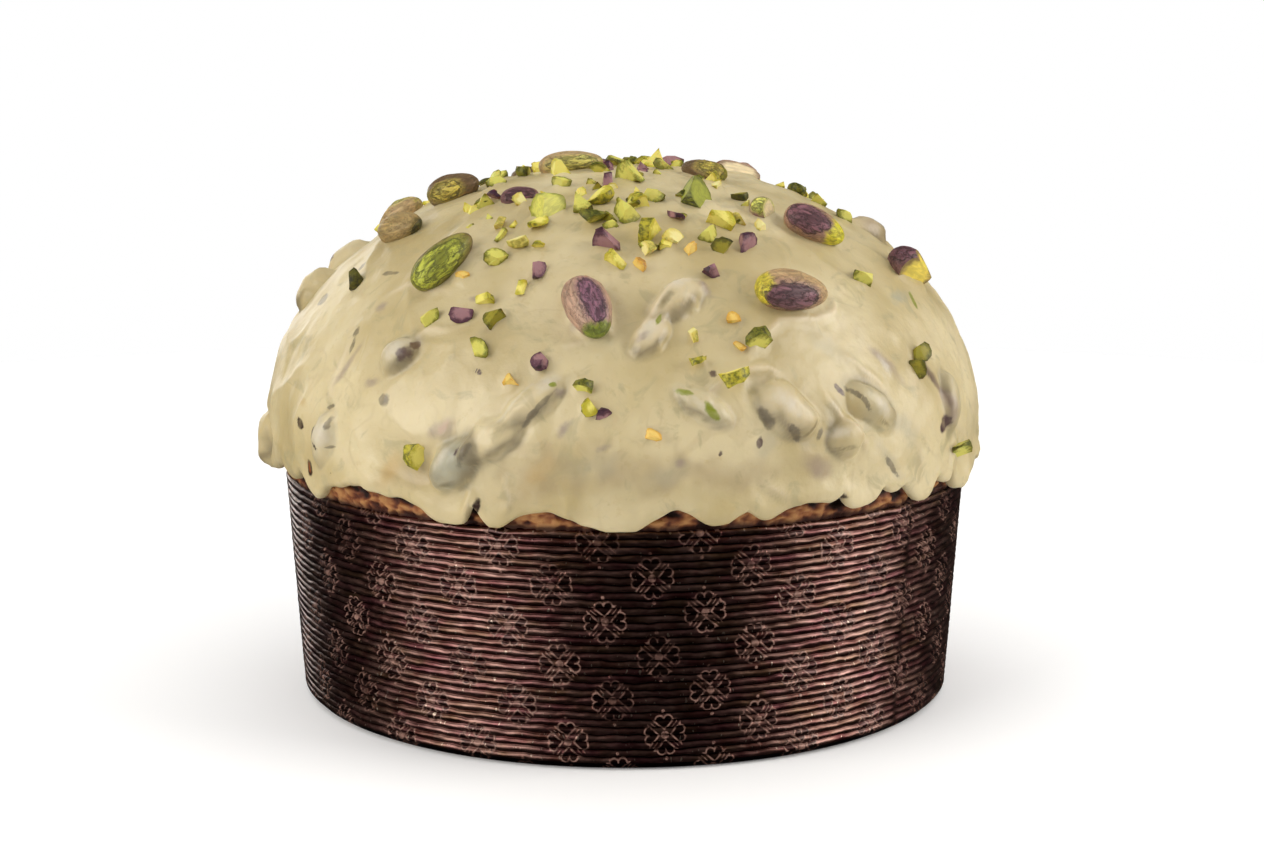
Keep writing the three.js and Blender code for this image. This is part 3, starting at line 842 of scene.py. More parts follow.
def swellings(points):
    """How high the drowned nuts lift the glaze at each point"""
    lift = np.zeros(points.shape[:-1])
    uneven = SWELLING_UNEVEN * grains(points, SWELLING_GRAIN, 2)
    for reach, _, half_width, _ in ovals(points, SWELLINGS, SWELLING_COAT):
        reach = reach + uneven
        cap = half_width * (np.sqrt(np.clip(1 - reach ** 2, 0, 1)) - np.clip(reach - 1, 0, 9))
        cap -= half_width * (1 - 2 * SWELLING_RISE)
        lift += SWELLING_BLEND * np.logaddexp(0, cap / SWELLING_BLEND)
        lift -= CREASE * bell((reach - CREASE_AT) / CREASE_WIDTH)
    return lift


def nearness(points, half_width, path):
    """1 on a path over the glaze and less beside it and towards its two ends"""
    stops = np.array([glaze_point(turn, climb) for turn, climb in path])
    nearest = np.full(points.shape[:-1], 1.0)
    walked, along = 0.0, np.zeros(points.shape[:-1])
    for start, end in zip(stops, stops[1:]):
        length = np.linalg.norm(end - start)
        share = np.clip((points - start) @ (end - start) / length ** 2, 0, 1)
        away = np.linalg.norm(points - start - share[..., None] * (end - start), axis=-1)
        closer = away < nearest
        nearest = np.where(closer, away, nearest)
        along = np.where(closer, walked + share * length, along)
        walked += length
    to_end = np.minimum(along, walked - along) + FOLD_TAPER / 4
    return (1 - bell(to_end / FOLD_TAPER)) * bell(nearest / (half_width * mm))


def flow_folds(points):
    """Height and nearness of the folds at each point"""
    lift = np.zeros(points.shape[:-1])
    near = np.zeros(points.shape[:-1])
    wandering = points + grains(points, FOLD_WANDER_SIZE, 2)[..., None] * FOLD_WANDER
    for height, half_width, *path in FLOW_FOLDS:
        share = nearness(wandering, half_width, path)
        lift = np.maximum(lift, height * mm * share)
        near = np.maximum(near, share)
    return lift, near


def laid_over(cover, share, colour):
    """Lays a share of a colour over a cover of colours and strengths"""
    kept = cover[..., 3] * (1 - share)
    total = np.maximum(kept + share, 1e-9)
    for channel in range(3):
        cover[..., channel] = (cover[..., channel] * kept + colour[channel] * share) / total
    cover[..., 3] = kept + share


def veil(points):
    """Colour and strength of what shows through the glaze, and of painted shade, at each point"""
    cover = np.zeros(points.shape[:-1] + (4,))
    cover[..., :3] = tinted("cream")[0][:3]
    shade, shade_strength = tinted("shade")
    patchy = 0.8 + 0.5 * grains(points, 6 * mm, 2)
    blur = 0.3 * grains(points, 5 * mm, 2)
    ragged = 0.25 * grains(points, 5 * mm, 2)
    for reach, (tint, shaded), _, side in ovals(points, SWELLINGS):
        colour, strength = tinted(tint)
        share = np.exp(-np.clip(reach + blur, 0, 3) ** (2 + 5 * strength))
        laid_over(cover, np.clip(strength * share * patchy, 0, 1), colour)
        # Painted shade: a dark band round one side of each swelling, in the crease under it
        facing = np.clip(0.25 + np.cos(side - math.radians(shaded)), 0, 1)
        rim = facing * bell((reach - 1 + ragged) / SHADE_WIDTH)
        laid_over(cover, shade_strength * rim, shade)
    for reach, (tint,), _, _ in ovals(points, SHADOWS):
        colour, strength = tinted(tint)
        share = np.exp(-np.clip(reach + blur + ragged, 0, 3) ** (1 + 5 * strength))
        laid_over(cover, np.clip(strength * share * patchy, 0, 1), colour)
    return cover


# Chopped nuts by kind: turn, climb, size in mm. The larger ones are solids of the glaze's node too.
CHOPPED = {
    "green": [
        (-88, 76, 5), (-66, 70, 5), (-47, 62, 4.6), (-27, 47, 5), (-34, 32, 4.8), (0, 61, 7),
        (-8, 59, 6), (-14, 63, 5.4), (10, 67, 5.4), (-30, 73, 4.6), (3, 78, 7), (70, 85, 4.6),
        (60, 76, 5.4), (20, 54, 5), (96, 64, 4.6), (51, 40, 5.4), (21, 28, 5.8), (-23, 26, 5.4),
        (61, -16, 5.4), (84, 60, 4), (78, 55, 4.4), (-6, 19, 4.2)],
    "yellow": [
        (-22, 57, 5.4), (-2, 47, 5), (6, 55, 7), (-8, 66, 6), (4, 65, 5), (-50, 79, 6),
        (25, 57, 6.6), (16, 20, 6.6), (-31, 0, 5.6), (-19, 40, 3.6), (-25, 37, 4), (-5, 14, 3.6),
        (11, 24, 3.6)],
    "pale": [
        (-24, 51, 5), (11, 53, 5), (-32, 56, 4), (5, 50, 4), (36, 56, 3.4), (11, 30, 3.4)],
    "purple": [
        (-17, 44, 4.8), (-28, 33, 5), (-4, 52, 6), (-8, 73, 5), (14, 60, 4.6), (28, 51, 5.6),
        (-13, 24, 4.6), (17, 44, 4.4), (-3, 13, 3.4)],
    "olive": [
        (-22, 33, 5), (-61, 38, 5.4), (54, 21, 5.4), (21, 50, 4.4), (52, 18, 4.4)],
    "orange": [
        (-32, 42, 3.2), (3, 46, 3.6), (14, 50, 3.4), (18, 33, 3.0), (18, 27, 2.8), (-17, 20, 3.4),
        (4, 8, 3.4)],
}

# Throws of more: how many, from which to which turn, climb and size in mm, and the power of the
# random number that spreads the climbs
THROWS = (
    (20, (98, 262), (0, 90), (4.4, 6.4), 0.5), (46, (-50, 55), (50, 86), (1.8, 4.4), 1),
    (70, (90, 270), (8, 86), (2, 5), 0.5))
THROWN_KINDS = ("green", "yellow", "green", "purple", "pale", "olive", "yellow", "green")
SEED = 20261

# How the glaze creeps up round nuts, and the relief of its open face and its edge
NUT_RISE = 0.8 * mm
NUT_FOOT = 1.2 * mm
KERNEL_FOOT = 0.78
KERNEL_NEAR = 4
BIT_RISE = 0.4 * mm
BIT_FOOT = 1.0 * mm
BIT_SHARE = 0.4
LUMPS = 0.5 * mm
LUMP_SIZE = 13 * mm
PITS = 0.15 * mm
PIT_SIZE = 4.5 * mm
FLOW_MARKS = 0.1 * mm
FLOW_SIZE = 5 * mm
FLOW_STRETCH = (1, 1, 0.16)
FLOW_CLIMB = 40
FOLDS = 0.9 * mm
FOLD_SIZE = 17 * mm
FOLD_SHARP = 7
FOLDED_PATCH = 30 * mm
EDGE_BEAD = 0.55 * mm
BEAD_WIDTH = 2.4 * mm
DRIP_BULGE = 0.9 * mm
DRIP_LENGTH = 4.5 * mm


def numbers_from(seed):
    """A repeatable stream of numbers from 0 to 1"""
    state = seed
    while True:
        state = state * 48271 % 2147483647
        yield state / 2147483647


def between(ends, share):
    return ends[0] + (ends[1] - ends[0]) * share


def throw_chopped_nuts():
    """Adds the nuts on the side turned away, and the small ones, which lie thickest on top"""
    draw = numbers_from(SEED)
    thrown = []
    for count, turns, climbs, sizes, power in THROWS:
        for _ in range(count):
            turn = between(turns, next(draw))
            climb = between(climbs, next(draw) ** power)
            thrown.append((turn, climb, between(sizes, next(draw))))
    for number, bit in enumerate(thrown):
        CHOPPED[THROWN_KINDS[number % len(THROWN_KINDS)]].append(bit)


def kernel_seat(name):
    """Middle, axes and half sizes of a whole kernel: its narrow tip at +X, its back at +Z"""
    points = np.array([vert.co for vert in frame["nodes"][name].data.vertices])
    middle = (points.min(0) + points.max(0)) / 2
    _, _, axes = np.linalg.svd(points - points.mean(0), full_matrices=False)
    along, across, back = axes
    reach = (points - middle) @ along
    middle = middle + along * (reach.max() + reach.min()) / 2
    away = np.linalg.norm(np.cross(points - middle, along), axis=1)
    reach = (points - middle) @ along
    if away[reach > 0].mean() > away[reach < 0].mean():
        along = -along
    outward = middle - np.array([0, 0, BELLY_HEIGHT / 2])
    if back @ outward < 0:
        back = -back
    across = np.cross(back, along)
    axes = np.stack([along, across, back])
    spans = (points - middle) @ axes.T
    middle = middle + ((spans.max(0) + spans.min(0)) / 2) @ axes
    half = (spans.max(0) - spans.min(0)) / 2
    return middle, axes, half


throw_chopped_nuts()
KERNEL_SEATS = {name: kernel_seat(name) for name in frame["nodes"] if name.startswith("pistachio")}


def menisci(points):
    """How the glaze creeps up round every nut that lies in it"""
    lift = np.zeros(points.shape[:-1])
    for middle, axes, half in KERNEL_SEATS.values():
        across = (points - middle) @ axes.T / half
        reach = np.linalg.norm(across[..., :2], axis=-1)
        away = np.clip(reach - KERNEL_FOOT, 0, None) * half[:2].mean()
        near = np.abs(across[..., 2]) < KERNEL_NEAR
        lift = np.maximum(lift, near * NUT_RISE * bell(away / NUT_FOOT))
    for bits in CHOPPED.values():
        for turn, climb, size in bits:
            away = np.linalg.norm(points - glaze_point(turn, climb), axis=-1)
            away = np.clip(away - size * mm * BIT_SHARE, 0, None)
            lift = np.maximum(lift, BIT_RISE * bell(away / BIT_FOOT))
    return lift


def glaze_grid():
    """Turn and climb of each point of the face, its way up from the edge, and each turn's
    tongue. The points lie closer together in front and near the edge."""
    even = 2 * np.pi * np.arange(GLAZE_STEPS) / GLAZE_STEPS
    turns = np.degrees(even - FRONT_SHARE * np.sin(even))
    lowest = math.degrees(math.asin((CASE_HEIGHT + OVER_PAPER - BELLY_HEIGHT)
                                    / (BELLY_HEIGHT - CASE_HEIGHT) * 0.999))
    climb_scale = np.linspace(lowest, 90, CLIMB_STEPS)
    walked = np.linalg.norm(np.diff(dome(0, climb_scale), axis=0), axis=1)
    run_scale = np.concatenate([[0], np.cumsum(walked)])
    edge, tongue = edge_height(turns)
    share = (edge - BELLY_HEIGHT) / (BELLY_HEIGHT - CASE_HEIGHT)
    edge_climb = np.degrees(np.arcsin(np.clip(share, -1, 1)))
    start = np.interp(edge_climb, climb_scale, run_scale) + LIP_RADIUS
    rows = np.arange(FACE_ROWS)[:, None] / FACE_ROWS
    rows = rows * (1 - LOW_SHARE + LOW_SHARE * rows)
    run = start + (run_scale[-1] - start) * rows
    climbs = np.interp(run, run_scale, climb_scale)
    return np.broadcast_to(turns, climbs.shape), climbs, run - start, tongue


def relief(face, climbs, from_edge, tongue):
    """How far each point of the face stands out, and how near it is to a fold"""
    low = np.clip(1 - climbs / FLOW_CLIMB, 0, 1)
    folds, on_fold = flow_folds(face)
    lift = swellings(face) + menisci(face) + folds
    lift += grains(face, LUMP_SIZE, 2) * LUMPS + grains(face, PIT_SIZE, 2) * PITS
    lift += grains(face, FLOW_SIZE, 2, FLOW_STRETCH) * FLOW_MARKS * low
    folded = (1 - np.abs(grains(face, FOLD_SIZE, 1))) ** FOLD_SHARP
    lift += FOLDS * folded * np.clip(2 * grains(face[::-1, ::-1], FOLDED_PATCH, 1) + 0.5, 0, 1)
    lift += EDGE_BEAD * bell((from_edge - BEAD_WIDTH / 2) / BEAD_WIDTH)
    return lift + DRIP_BULGE * tongue * bell(from_edge / DRIP_LENGTH), on_fold


def glaze_shell():
    """The glaze's rings, from the top of its lining, round the lip and up its face to the top,
    with what shows through at every point and the shade and highlight painted on it"""
    turns, climbs, from_edge, tongue = glaze_grid()
    face = glaze_point(turns, climbs)
    _, upward, outward = glaze_axes(turns, climbs)
    lift, on_fold = relief(face, climbs, from_edge, tongue)
    face = face + lift[..., None] * outward
    tints_and_painted_light = veil(face)
    # Painted shade just below each fold and a painted highlight in the pale tint along its crest
    _, under_fold = flow_folds(face + [0, 0, UNDER_FOLD])
    laid_over(tints_and_painted_light, FOLD_SHADE * under_fold ** 2, tinted("shade")[0])
    laid_over(tints_and_painted_light, FOLD_HIGHLIGHT * on_fold ** 2, tinted("pale")[0])

    lip = []
    for row in range(1, LIP_ROWS + 1):
        angle = math.pi * row / LIP_ROWS
        radius = LIP_RADIUS + lift[0, :, None] / 2
        lip.append(face[0] - outward[0] * radius * (1 - math.cos(angle))
                   - upward[0] * LIP_RADIUS * math.sin(angle))
    share = np.linspace(0, 1, LINING_ROWS + 1)[1:-1, None]
    lining_climbs = climbs[0] + LINING_START + (LINING_TOP - climbs[0]) * share
    lining = dome(turns[0], lining_climbs, GAP - GLAZE)
    rings = np.concatenate([lining[::-1], np.stack(lip)[::-1], face])
    over_paper = np.linalg.norm(rings[..., :2], axis=-1) < RIM_RADIUS + PAPER_EDGE
    floor = np.where(over_paper, CASE_HEIGHT + OVER_PAPER, CASE_HEIGHT - LINING_LOW)
    rings[..., 2] = np.maximum(rings[..., 2], floor)
    under = np.broadcast_to(tints_and_painted_light[0], (LINING_ROWS - 1 + LIP_ROWS,) + tints_and_painted_light[0].shape)
    return rings, np.concatenate([under, tints_and_painted_light])


def marks_behind(tint):
    """A tint's marks on the swellings of the side turned away"""
    if tint not in MARKS_ON_A_SWELLING:
        return []
    far, aside, long, wide = MARKS_ON_A_SWELLING[tint]
    marks = []
    for turn, climb, heading, length, width, *_ in SWELLINGS:
        if abs(turn) > 90:
            bend = math.radians(heading)
            out, side = far * length / 2 * mm, aside * width / 2 * mm
            to_right = out * math.cos(bend) - side * math.sin(bend)
            to_top = out * math.sin(bend) + side * math.cos(bend)
            marks.append((turn + math.degrees(to_right / BELLY_RADIUS),
                          climb + math.degrees(to_top / BELLY_RADIUS), heading,
                          long * length, wide * width))
    return marks


def mark_field(points, tint):
    """How far each point lies from the nearest mark of a tint, as a share of its radius"""
    field = np.full(points.shape[:-1], FAR_OFF)
    for reach, *_ in ovals(points, MARKS[tint] + marks_behind(tint)):
        field = np.minimum(field, reach)
    return field


def marked(book, place, colour):
    """Lays the marks over a colour, each with a crisp, slightly ragged edge. Some of them are
    painted shade and painted highlight
    """
    wobble = (book.mottle(place, 420, 2) - 0.5) * MARK_RAGGED
    patchy = 0.5 + book.mottle(place, 560, 2)
    for tint in MARKS:
        shade, strength = tinted(tint)
        reach = book.stored("mark " + tint)
        edge = SOFT_EDGE if tint in SOFT_MARKS else CRISP_EDGE
        share = strength * (1 - book.rise(reach + wobble, *edge))
        colour = book.mix(share * patchy, colour, shade)
    return colour


def cream_glaze():
    made, book, surface = material("pistachio cream glaze")
    place = book.place()
    seen = book.stored("veil", "Color")
    strength = Wire(book, seen.socket.node.outputs["Alpha"])
    clouds = book.mottle(place, 38, 3, 0.5)
    grain = book.mottle(place, 420, 3, 0.6)
    cream = book.mix(book.rise(clouds, 0.3, 0.7), paint(187, 169, 121), paint(215, 200, 159))
    cream = book.mix(book.rise(grain, 0.58, 0.75) * 0.25, cream, paint(182, 160, 104))
    smudge = book.mottle(place, 90, 4, 0.6, 1.5)
    cream = book.mix(book.rise(smudge, 0.54, 0.7) * 0.55, cream, paint(168, 158, 120))
    vein = 1 - book.rise(abs(book.mottle(place, 50, 2, 0.5, 1.2) - 0.5), 0.0, 0.05)
    cream = book.mix(vein * book.rise(clouds, 0.5, 0.62) * 0.16, cream, paint(158, 136, 98))
    fine = book.mottle(place, 260, 3) + 0.35 * grain + 1.5 * book.mottle(place, 95, 2, 0.5, 0.8)
    # The stored colours and the marks hold painted shade and highlight besides what shows through
    book.feed_all(surface, {
        "Base Color": marked(book, place, book.mix(strength, cream, seen)),
        "Roughness": 0.36 + 0.14 * clouds, "Normal": book.bump(fine, 0.5 * mm, 0.6),
        "Subsurface Weight": 0.25, "Subsurface Radius": (1.0, 0.75, 0.4),
        "Subsurface Scale": 1.6 * mm, "Coat Weight": 0.3, "Coat Roughness": 0.32})
    return made


glaze_rings, glaze_tints_and_painted_light = glaze_shell()
glaze = skin_over("glaze_coat", glaze_rings, (0, 0, TOP_HEIGHT + GAP - GLAZE), (0, 0, TOP_HEIGHT))
ends = np.repeat(glaze_tints_and_painted_light[-1:, :1].reshape(1, 4), 2, axis=0)
colours = glaze.data.color_attributes.new("veil", "FLOAT_COLOR", "POINT")
colours.data.foreach_set("color", np.vstack([glaze_tints_and_painted_light.reshape(-1, 4), ends]).ravel())
for tint in MARKS:
    field = mark_field(glaze_rings, tint).ravel()
    store(glaze.data, "mark " + tint, "FLOAT", np.append(field, [FAR_OFF, FAR_OFF]))
glaze.data.materials.append(cream_glaze())
part_of_cake(glaze, "glaze", "glaze")


# Whole and halved pistachios, shelled but still in their papery skins, which wrinkle as they dry:
# brown, rosy or violet, and green where the flesh shows. They lie pressed into the soft glaze.
KERNEL_RINGS = 30
KERNEL_SIDES = 40
KERNEL_BLUNT = 0.15
WRINKLES = 0.045
WRINKLE_SIZE = 0.5
WRINKLE_STRETCH = (0.6, 1.6, 1.6)
KERNEL_SEAM = 0.05
KERNEL_SEAM_AT = math.pi / 2 + 0.5
KERNEL_SEAM_WIDTH = 0.12
KERNEL_BEND = 0.06
KERNEL_SHARP = math.radians(42)

# Looks of a kernel: skin, patch, flesh and cut colours, and the end (-1 blunt, 1 tip) at which
# flesh shows and where it starts
LOOKS = {
    "green": ((112, 86, 56), (146, 150, 48), (150, 148, 50), (190, 186, 90), -1, 0.9),
    "rosy": ((176, 142, 118), (112, 76, 90), (118, 128, 36), (220, 206, 120), 1, 0.7),
    "violet": ((188, 156, 110), (106, 72, 78), (204, 188, 56), (220, 206, 120), -1, 0.7),
    "smooth": ((184, 156, 110), (168, 160, 84), (160, 150, 60), (214, 200, 110), 1, 0.95),
    "tan": ((166, 140, 88), (84, 80, 36), (130, 110, 50), (214, 200, 110), 1, 0.95),
    "brown": ((112, 88, 58), (164, 148, 62), (138, 132, 30), (200, 186, 90), -1, 0.8),
    "dusk": ((176, 142, 106), (108, 72, 78), (206, 196, 40), (220, 206, 90), 1, 0.45),
    "plum": ((124, 90, 86), (96, 62, 68), (150, 110, 100), (232, 208, 84), 1, 0.95),
    "russet": ((142, 92, 70), (100, 58, 46), (170, 130, 80), (236, 216, 172), 1, 0.95),
    "moss": ((122, 126, 52), (98, 102, 30), (130, 138, 44), (158, 162, 54), 1, 0.8),
    "bright": ((96, 98, 22), (120, 124, 30), (150, 150, 40), (214, 210, 100), 1, 0.8),
    "mixed": ((146, 106, 112), (178, 178, 84), (150, 110, 110), (226, 206, 160), 1, 0.95),
}

# The kernels in their order: look; the way from the middle to the patch and how far it reaches
# along and across; then the cuts, each a way and a distance. Ways are right, backwards and up.
KERNELS = [
    ("green", (-0.35, -1, -0.2), (1.15, 0.85)), ("violet", (0.05, -1, -0.3), (0.75, 0.75)),
    ("rosy", (0.4, -1, 0.6), (0.8, 0.5)), ("smooth", (0.5, -1, 0.2), (1.1, 0.55)),
    ("tan", (1.4, -1, 0), (0.55, 0.6)), ("brown", (-0.4, -1, 0), (0.6, 0.6)),
    ("dusk", (-0.5, -1, 0.6), (0.75, 0.8)),
    ("plum", (-0.6, -0.6, 0.8), (0.7, 0.7), ((0.6, -0.6, -0.5), 0.3), ((0.9, -0.2, 0.4), 0.55)),
    ("brown", (0.5, -1, 0.2), (0.7, 0.6)),
    ("russet", (-0.6, -1, 0), (0.6, 0.6), ((0.5, -0.5, 0.7), 0.3)),
    ("moss", (0, -1, -0.5), (0.6, 0.5), ((0.75, -0.5, 0.45), 0.2), ((-0.8, -0.1, 0.5), 0.5)),
    ("plum", (0.2, -1, 0.3), (0.9, 0.7)),
    ("bright", (0, -0.4, 1), (0.7, 0.5), ((-0.8, -0.6, 0.3), 0.42), ((0.5, -0.8, 0.3), 0.3),
     ((0.1, -0.2, 1), 0.55)),
    ("mixed", (-0.5, -1, 0.7), (0.7, 0.7), ((0.9, -0.5, 0.1), 0.3)),
    ("green", (0, -1, 0.2), (0.9, 0.8)), ("rosy", (0.3, 1, 0.5), (0.75, 0.6)),
    ("violet", (0.4, 1, 0.3), (0.75, 0.75)), ("tan", (0.5, 1, 0.2), (0.6, 0.6)),
    ("dusk", (-0.3, 1, 0.6), (0.75, 0.7)), ("brown", (-0.5, 1, 0.4), (0.6, 0.6)),
    ("green", (-1, 0.6, 0.4), (1.1, 0.85)),
    ("smooth", (-1, 0.4, 0.5), (1, 0.6), ((-0.8, 0.3, 0.5), 0.6))]


def kernel_skin(look):
    *colours, flesh_end, flesh_from = LOOKS[look]
    skin, patch, flesh, inside = [paint(*colour) for colour in colours]
    made, book, surface = material(look + " pistachio")
    nut = book.stored("nut", "Vector")
    cut = book.stored("cut")
    far = book.stored("patch")
    along, _, _ = book.split(nut)
    wobble = book.mottle(nut, 2.4, 3) - 0.5
    streaks = book.mottle(book.stretch(nut, 1.2, 4.5, 4.5), 1.0, 4, 0.6, 0.6)
    wrinkles = book.mottle(book.stretch(nut, 1, 2, 2), 1.7, 2, 0.5, 0.9)
    cracks = 1 - book.rise(abs(book.mottle(nut, 3.0, 3, 0.6, 1.2) - 0.5), 0.0, 0.045)
    edge = far + wobble * 0.9
    in_patch = 1 - book.rise(edge, 0.9, 1.0)
    halo = 1 - book.rise(edge, 0.9, 1.6)
    line = 1 - book.rise(abs(edge - 1), 0.02, 0.09)
    in_flesh = book.rise(along * flesh_end + wobble * 0.5, flesh_from - 0.1, flesh_from + 0.12)

    def shaded(colour, light, dark):
        red, green, blue, _ = colour
        return book.mix(book.rise(streaks, 0.3, 0.7),
                        (red * dark, green * dark, blue * dark, 1),
                        (min(red * light, 1), min(green * light, 1), min(blue * light, 1), 1))

    colour = book.mix(halo * 0.65, shaded(skin, 1.25, 0.75), shaded(patch, 1.9, 1.2))
    colour = book.mix(in_flesh, colour, shaded(flesh, 1.35, 0.6))
    folds = book.rise(wrinkles, 0.4, 0.62)
    creased = book.mix(folds, shaded(patch, 0.8, 0.55), shaded(patch, 2.0, 1.4))
    colour = book.mix(in_patch, colour, creased)
    colour = book.mix(cracks * (0.2 + 0.5 * halo), colour, shaded(patch, 0.35, 0.2))
    colour = book.mix(line * 0.75, colour, shaded(patch, 0.35, 0.2))
    broken = book.mix(book.rise(streaks, 0.3, 0.75), shaded(inside, 0.95, 0.8),
                      shaded(inside, 1.15, 1.0))
    depth = book.length(nut)
    rind = book.rise(depth + wobble * 0.5, 0.68, 0.98)
    broken = book.mix(rind * 0.75, broken, shaded(patch, 1.2, 0.7))
    rough = streaks * 0.5 + wrinkles * (0.3 + in_patch) - cracks * 0.4
    book.feed_all(surface, {
        "Base Color": book.mix(cut, colour, broken), "Roughness": 0.42 + 0.2 * wrinkles,
        "Coat Weight": 0.1, "Coat Roughness": 0.3, "Subsurface Weight": 0.1,
        "Subsurface Scale": 1 * mm, "Normal": book.bump(rough * (1 - cut), 0.45 * mm, 0.8)})
    return made


def cut_faces(work, cuts, mark):
    """Cuts a chunk by planes, each a direction and a distance, and marks the faces of the cuts"""
    for direction, distance in cuts:
        normal = Vector(direction).normalized()
        whole = work.verts[:] + work.edges[:] + work.faces[:]
        bmesh.ops.bisect_plane(work, geom=whole, plane_co=normal * distance, plane_no=normal,
                               clear_outer=True)
        rim = [edge for edge in work.edges if edge.is_boundary]
        for face in bmesh.ops.contextual_create(work, geom=rim)["faces"]:
            face[mark] = 1.0


def kernel_rings(seed):
    """An egg of unit half sizes, blunt at -X, with wrinkles along it and a faint seam"""
    slope = np.pi * np.arange(1, KERNEL_RINGS)[:, None] / KERNEL_RINGS
    angle = 2 * np.pi * np.arange(KERNEL_SIDES)[None, :] / KERNEL_SIDES
    along = -np.cos(slope) + 0 * angle
    width = np.sin(slope) ** 0.9 * (1 - KERNEL_BLUNT * along)
    spot = np.stack([along * 0.7, np.cos(angle) + 0 * slope, np.sin(angle) + seed + 0 * slope], -1)
    ridges = grains(spot, WRINKLE_SIZE, 3, WRINKLE_STRETCH)
    seam = bell((angle - KERNEL_SEAM_AT) / KERNEL_SEAM_WIDTH) + 0 * slope
    width = width * (1 + WRINKLES * (0.6 - 2 * np.abs(ridges)) - KERNEL_SEAM * seam)
    bend = KERNEL_BEND * np.sin(seed * 3) * along ** 2
    return np.stack([along, width * np.cos(angle) + bend, width * np.sin(angle)], -1)


def kernel(number):
    look, patch_way, (patch_long, patch_wide), *cuts = KERNELS[number]
    name = f"pistachio_{number + 1:02}"
    middle, axes, half = KERNEL_SEATS[name]
    cuts = [((axes @ np.array(way)) * half, distance) for way, distance in cuts]
    patch_at = normalised((axes @ np.array(patch_way)) / half)
    patch_scale = np.array([patch_long, patch_wide, patch_wide])
    piece = skin_over(name + "_nut", kernel_rings(number * 1.7), (-1, 0, 0), (1, 0, 0))
    work = bmesh.new()
    work.from_mesh(piece.data)
    bmesh.ops.recalc_face_normals(work, faces=work.faces)
    mark = work.faces.layers.float.new("cut")
    cut_faces(work, cuts, mark)
    nut = work.verts.layers.float_vector.new("nut")
    patch = work.verts.layers.float.new("patch")
    for vert in work.verts:
        vert[nut] = vert.co
        vert[patch] = np.linalg.norm((normalised(np.array(vert.co)) - patch_at) / patch_scale)
        vert.co = Vector(middle + (np.array(vert.co) * half) @ axes)
    bmesh.ops.triangulate(work, faces=[face for face in work.faces if len(face.verts) > 4])
    work.to_mesh(piece.data)
    work.free()
    piece.data.set_sharp_from_angle(angle=KERNEL_SHARP)
    if look not in bpy.data.materials:
        kernel_skin(look).name = look
    piece.data.materials.append(bpy.data.materials[look])
    part_of_cake(piece, "pistachio", name)


for number in range(len(KERNELS)):
    kernel(number)


# Chopped pistachios: kernels broken into wedges, bright yellow to green where they broke, with
# scraps of violet or olive skin on their outer sides. They lie where they fell on the wet glaze.
CHUNK_SHAPES = 10
CHUNK_CUTS = 4
CUT_FROM = 0.15
CUT_SPREAD = 0.35
CHUNK_SIDES = (1, 0.8, 0.7)
CHUNK_ROUGH = 0.025
CHUNK_SHARP = math.radians(35)
BIT_UP = 0.26
BIT_TILT = 0.7
BIT_STRETCH = 1.2

# Looks of a chopped nut: flesh, rind and skin colours
CHUNK_LOOKS = {
    "green": ((212, 206, 96), (122, 120, 24), (66, 68, 10)),
    "yellow": ((232, 220, 110), (188, 176, 44), (104, 102, 18)),
    "pale": ((236, 224, 150), (214, 198, 96), (160, 148, 60)),
    "purple": ((156, 114, 118), (86, 48, 64), (54, 28, 42)),
    "olive": ((150, 140, 34), (92, 88, 16), (50, 48, 10)),
    "orange": ((232, 198, 104), (214, 166, 64), (156, 108, 40)),
}


def chunk_shapes():
    """A collection of broken bits, each about as long as 1"""
    shelf = bpy.data.collections.new("chunks")
    draw = np.random.default_rng(SEED)
    for number in range(CHUNK_SHAPES):
        work = bmesh.new()
        bmesh.ops.create_icosphere(work, subdivisions=2, radius=1)
        mark = work.faces.layers.float.new("cut")
        cuts = []
        for _ in range(CHUNK_CUTS):
            direction = draw.normal(size=3)
            cuts.append((tuple(direction), CUT_FROM + CUT_SPREAD * draw.random()))
        cut_faces(work, cuts, mark)
        bmesh.ops.triangulate(work, faces=[face for face in work.faces if len(face.verts) > 4])
        nut = work.verts.layers.float_vector.new("nut")
        points = np.array([vert.co for vert in work.verts]) * CHUNK_SIDES
        points += draw.normal(0, CHUNK_ROUGH, points.shape)
        middle = (points.min(0) + points.max(0)) / 2
        size = (points.max(0) - points.min(0)).max()
        for vert, point in zip(work.verts, points):
            vert[nut] = vert.co
            vert.co = (point - middle) / size
        for face in work.faces:
            face.smooth = True
        mesh = bpy.data.meshes.new(f"chunk {number}")
        work.to_mesh(mesh)
        work.free()
        mesh.set_sharp_from_angle(angle=CHUNK_SHARP)
        shelf.objects.link(bpy.data.objects.new(mesh.name, mesh))
    return shelf


def broken_nut(look):
    made, book, surface = material("chopped " + look)
    flesh, rind, skin = [paint(*colour) for colour in CHUNK_LOOKS[look]]
    place = book.place()
    cut = book.stored("cut")
    nut = book.stored("nut", "Vector")
    hue = book.mottle(place, 130, 1) - 0.5
    grain = book.mottle(place, 900, 3, 0.6)
    depth = book.length(nut)
    depth = depth + hue * 0.7 + (grain - 0.5) * 0.9
    broken = book.mix(book.rise(depth, 0.48, 0.92), flesh, rind)
    outside = book.mix(book.rise(grain, 0.35, 0.65), skin, rind)
    book.feed_all(surface, {
        "Base Color": book.mix(cut, outside, broken), "Roughness": 0.45 + 0.25 * grain,
        "Coat Weight": 0.1, "Subsurface Weight": 0.15, "Subsurface Scale": 0.8 * mm,
        "Normal": book.bump(grain, 0.3 * mm, 0.7)})
    return made


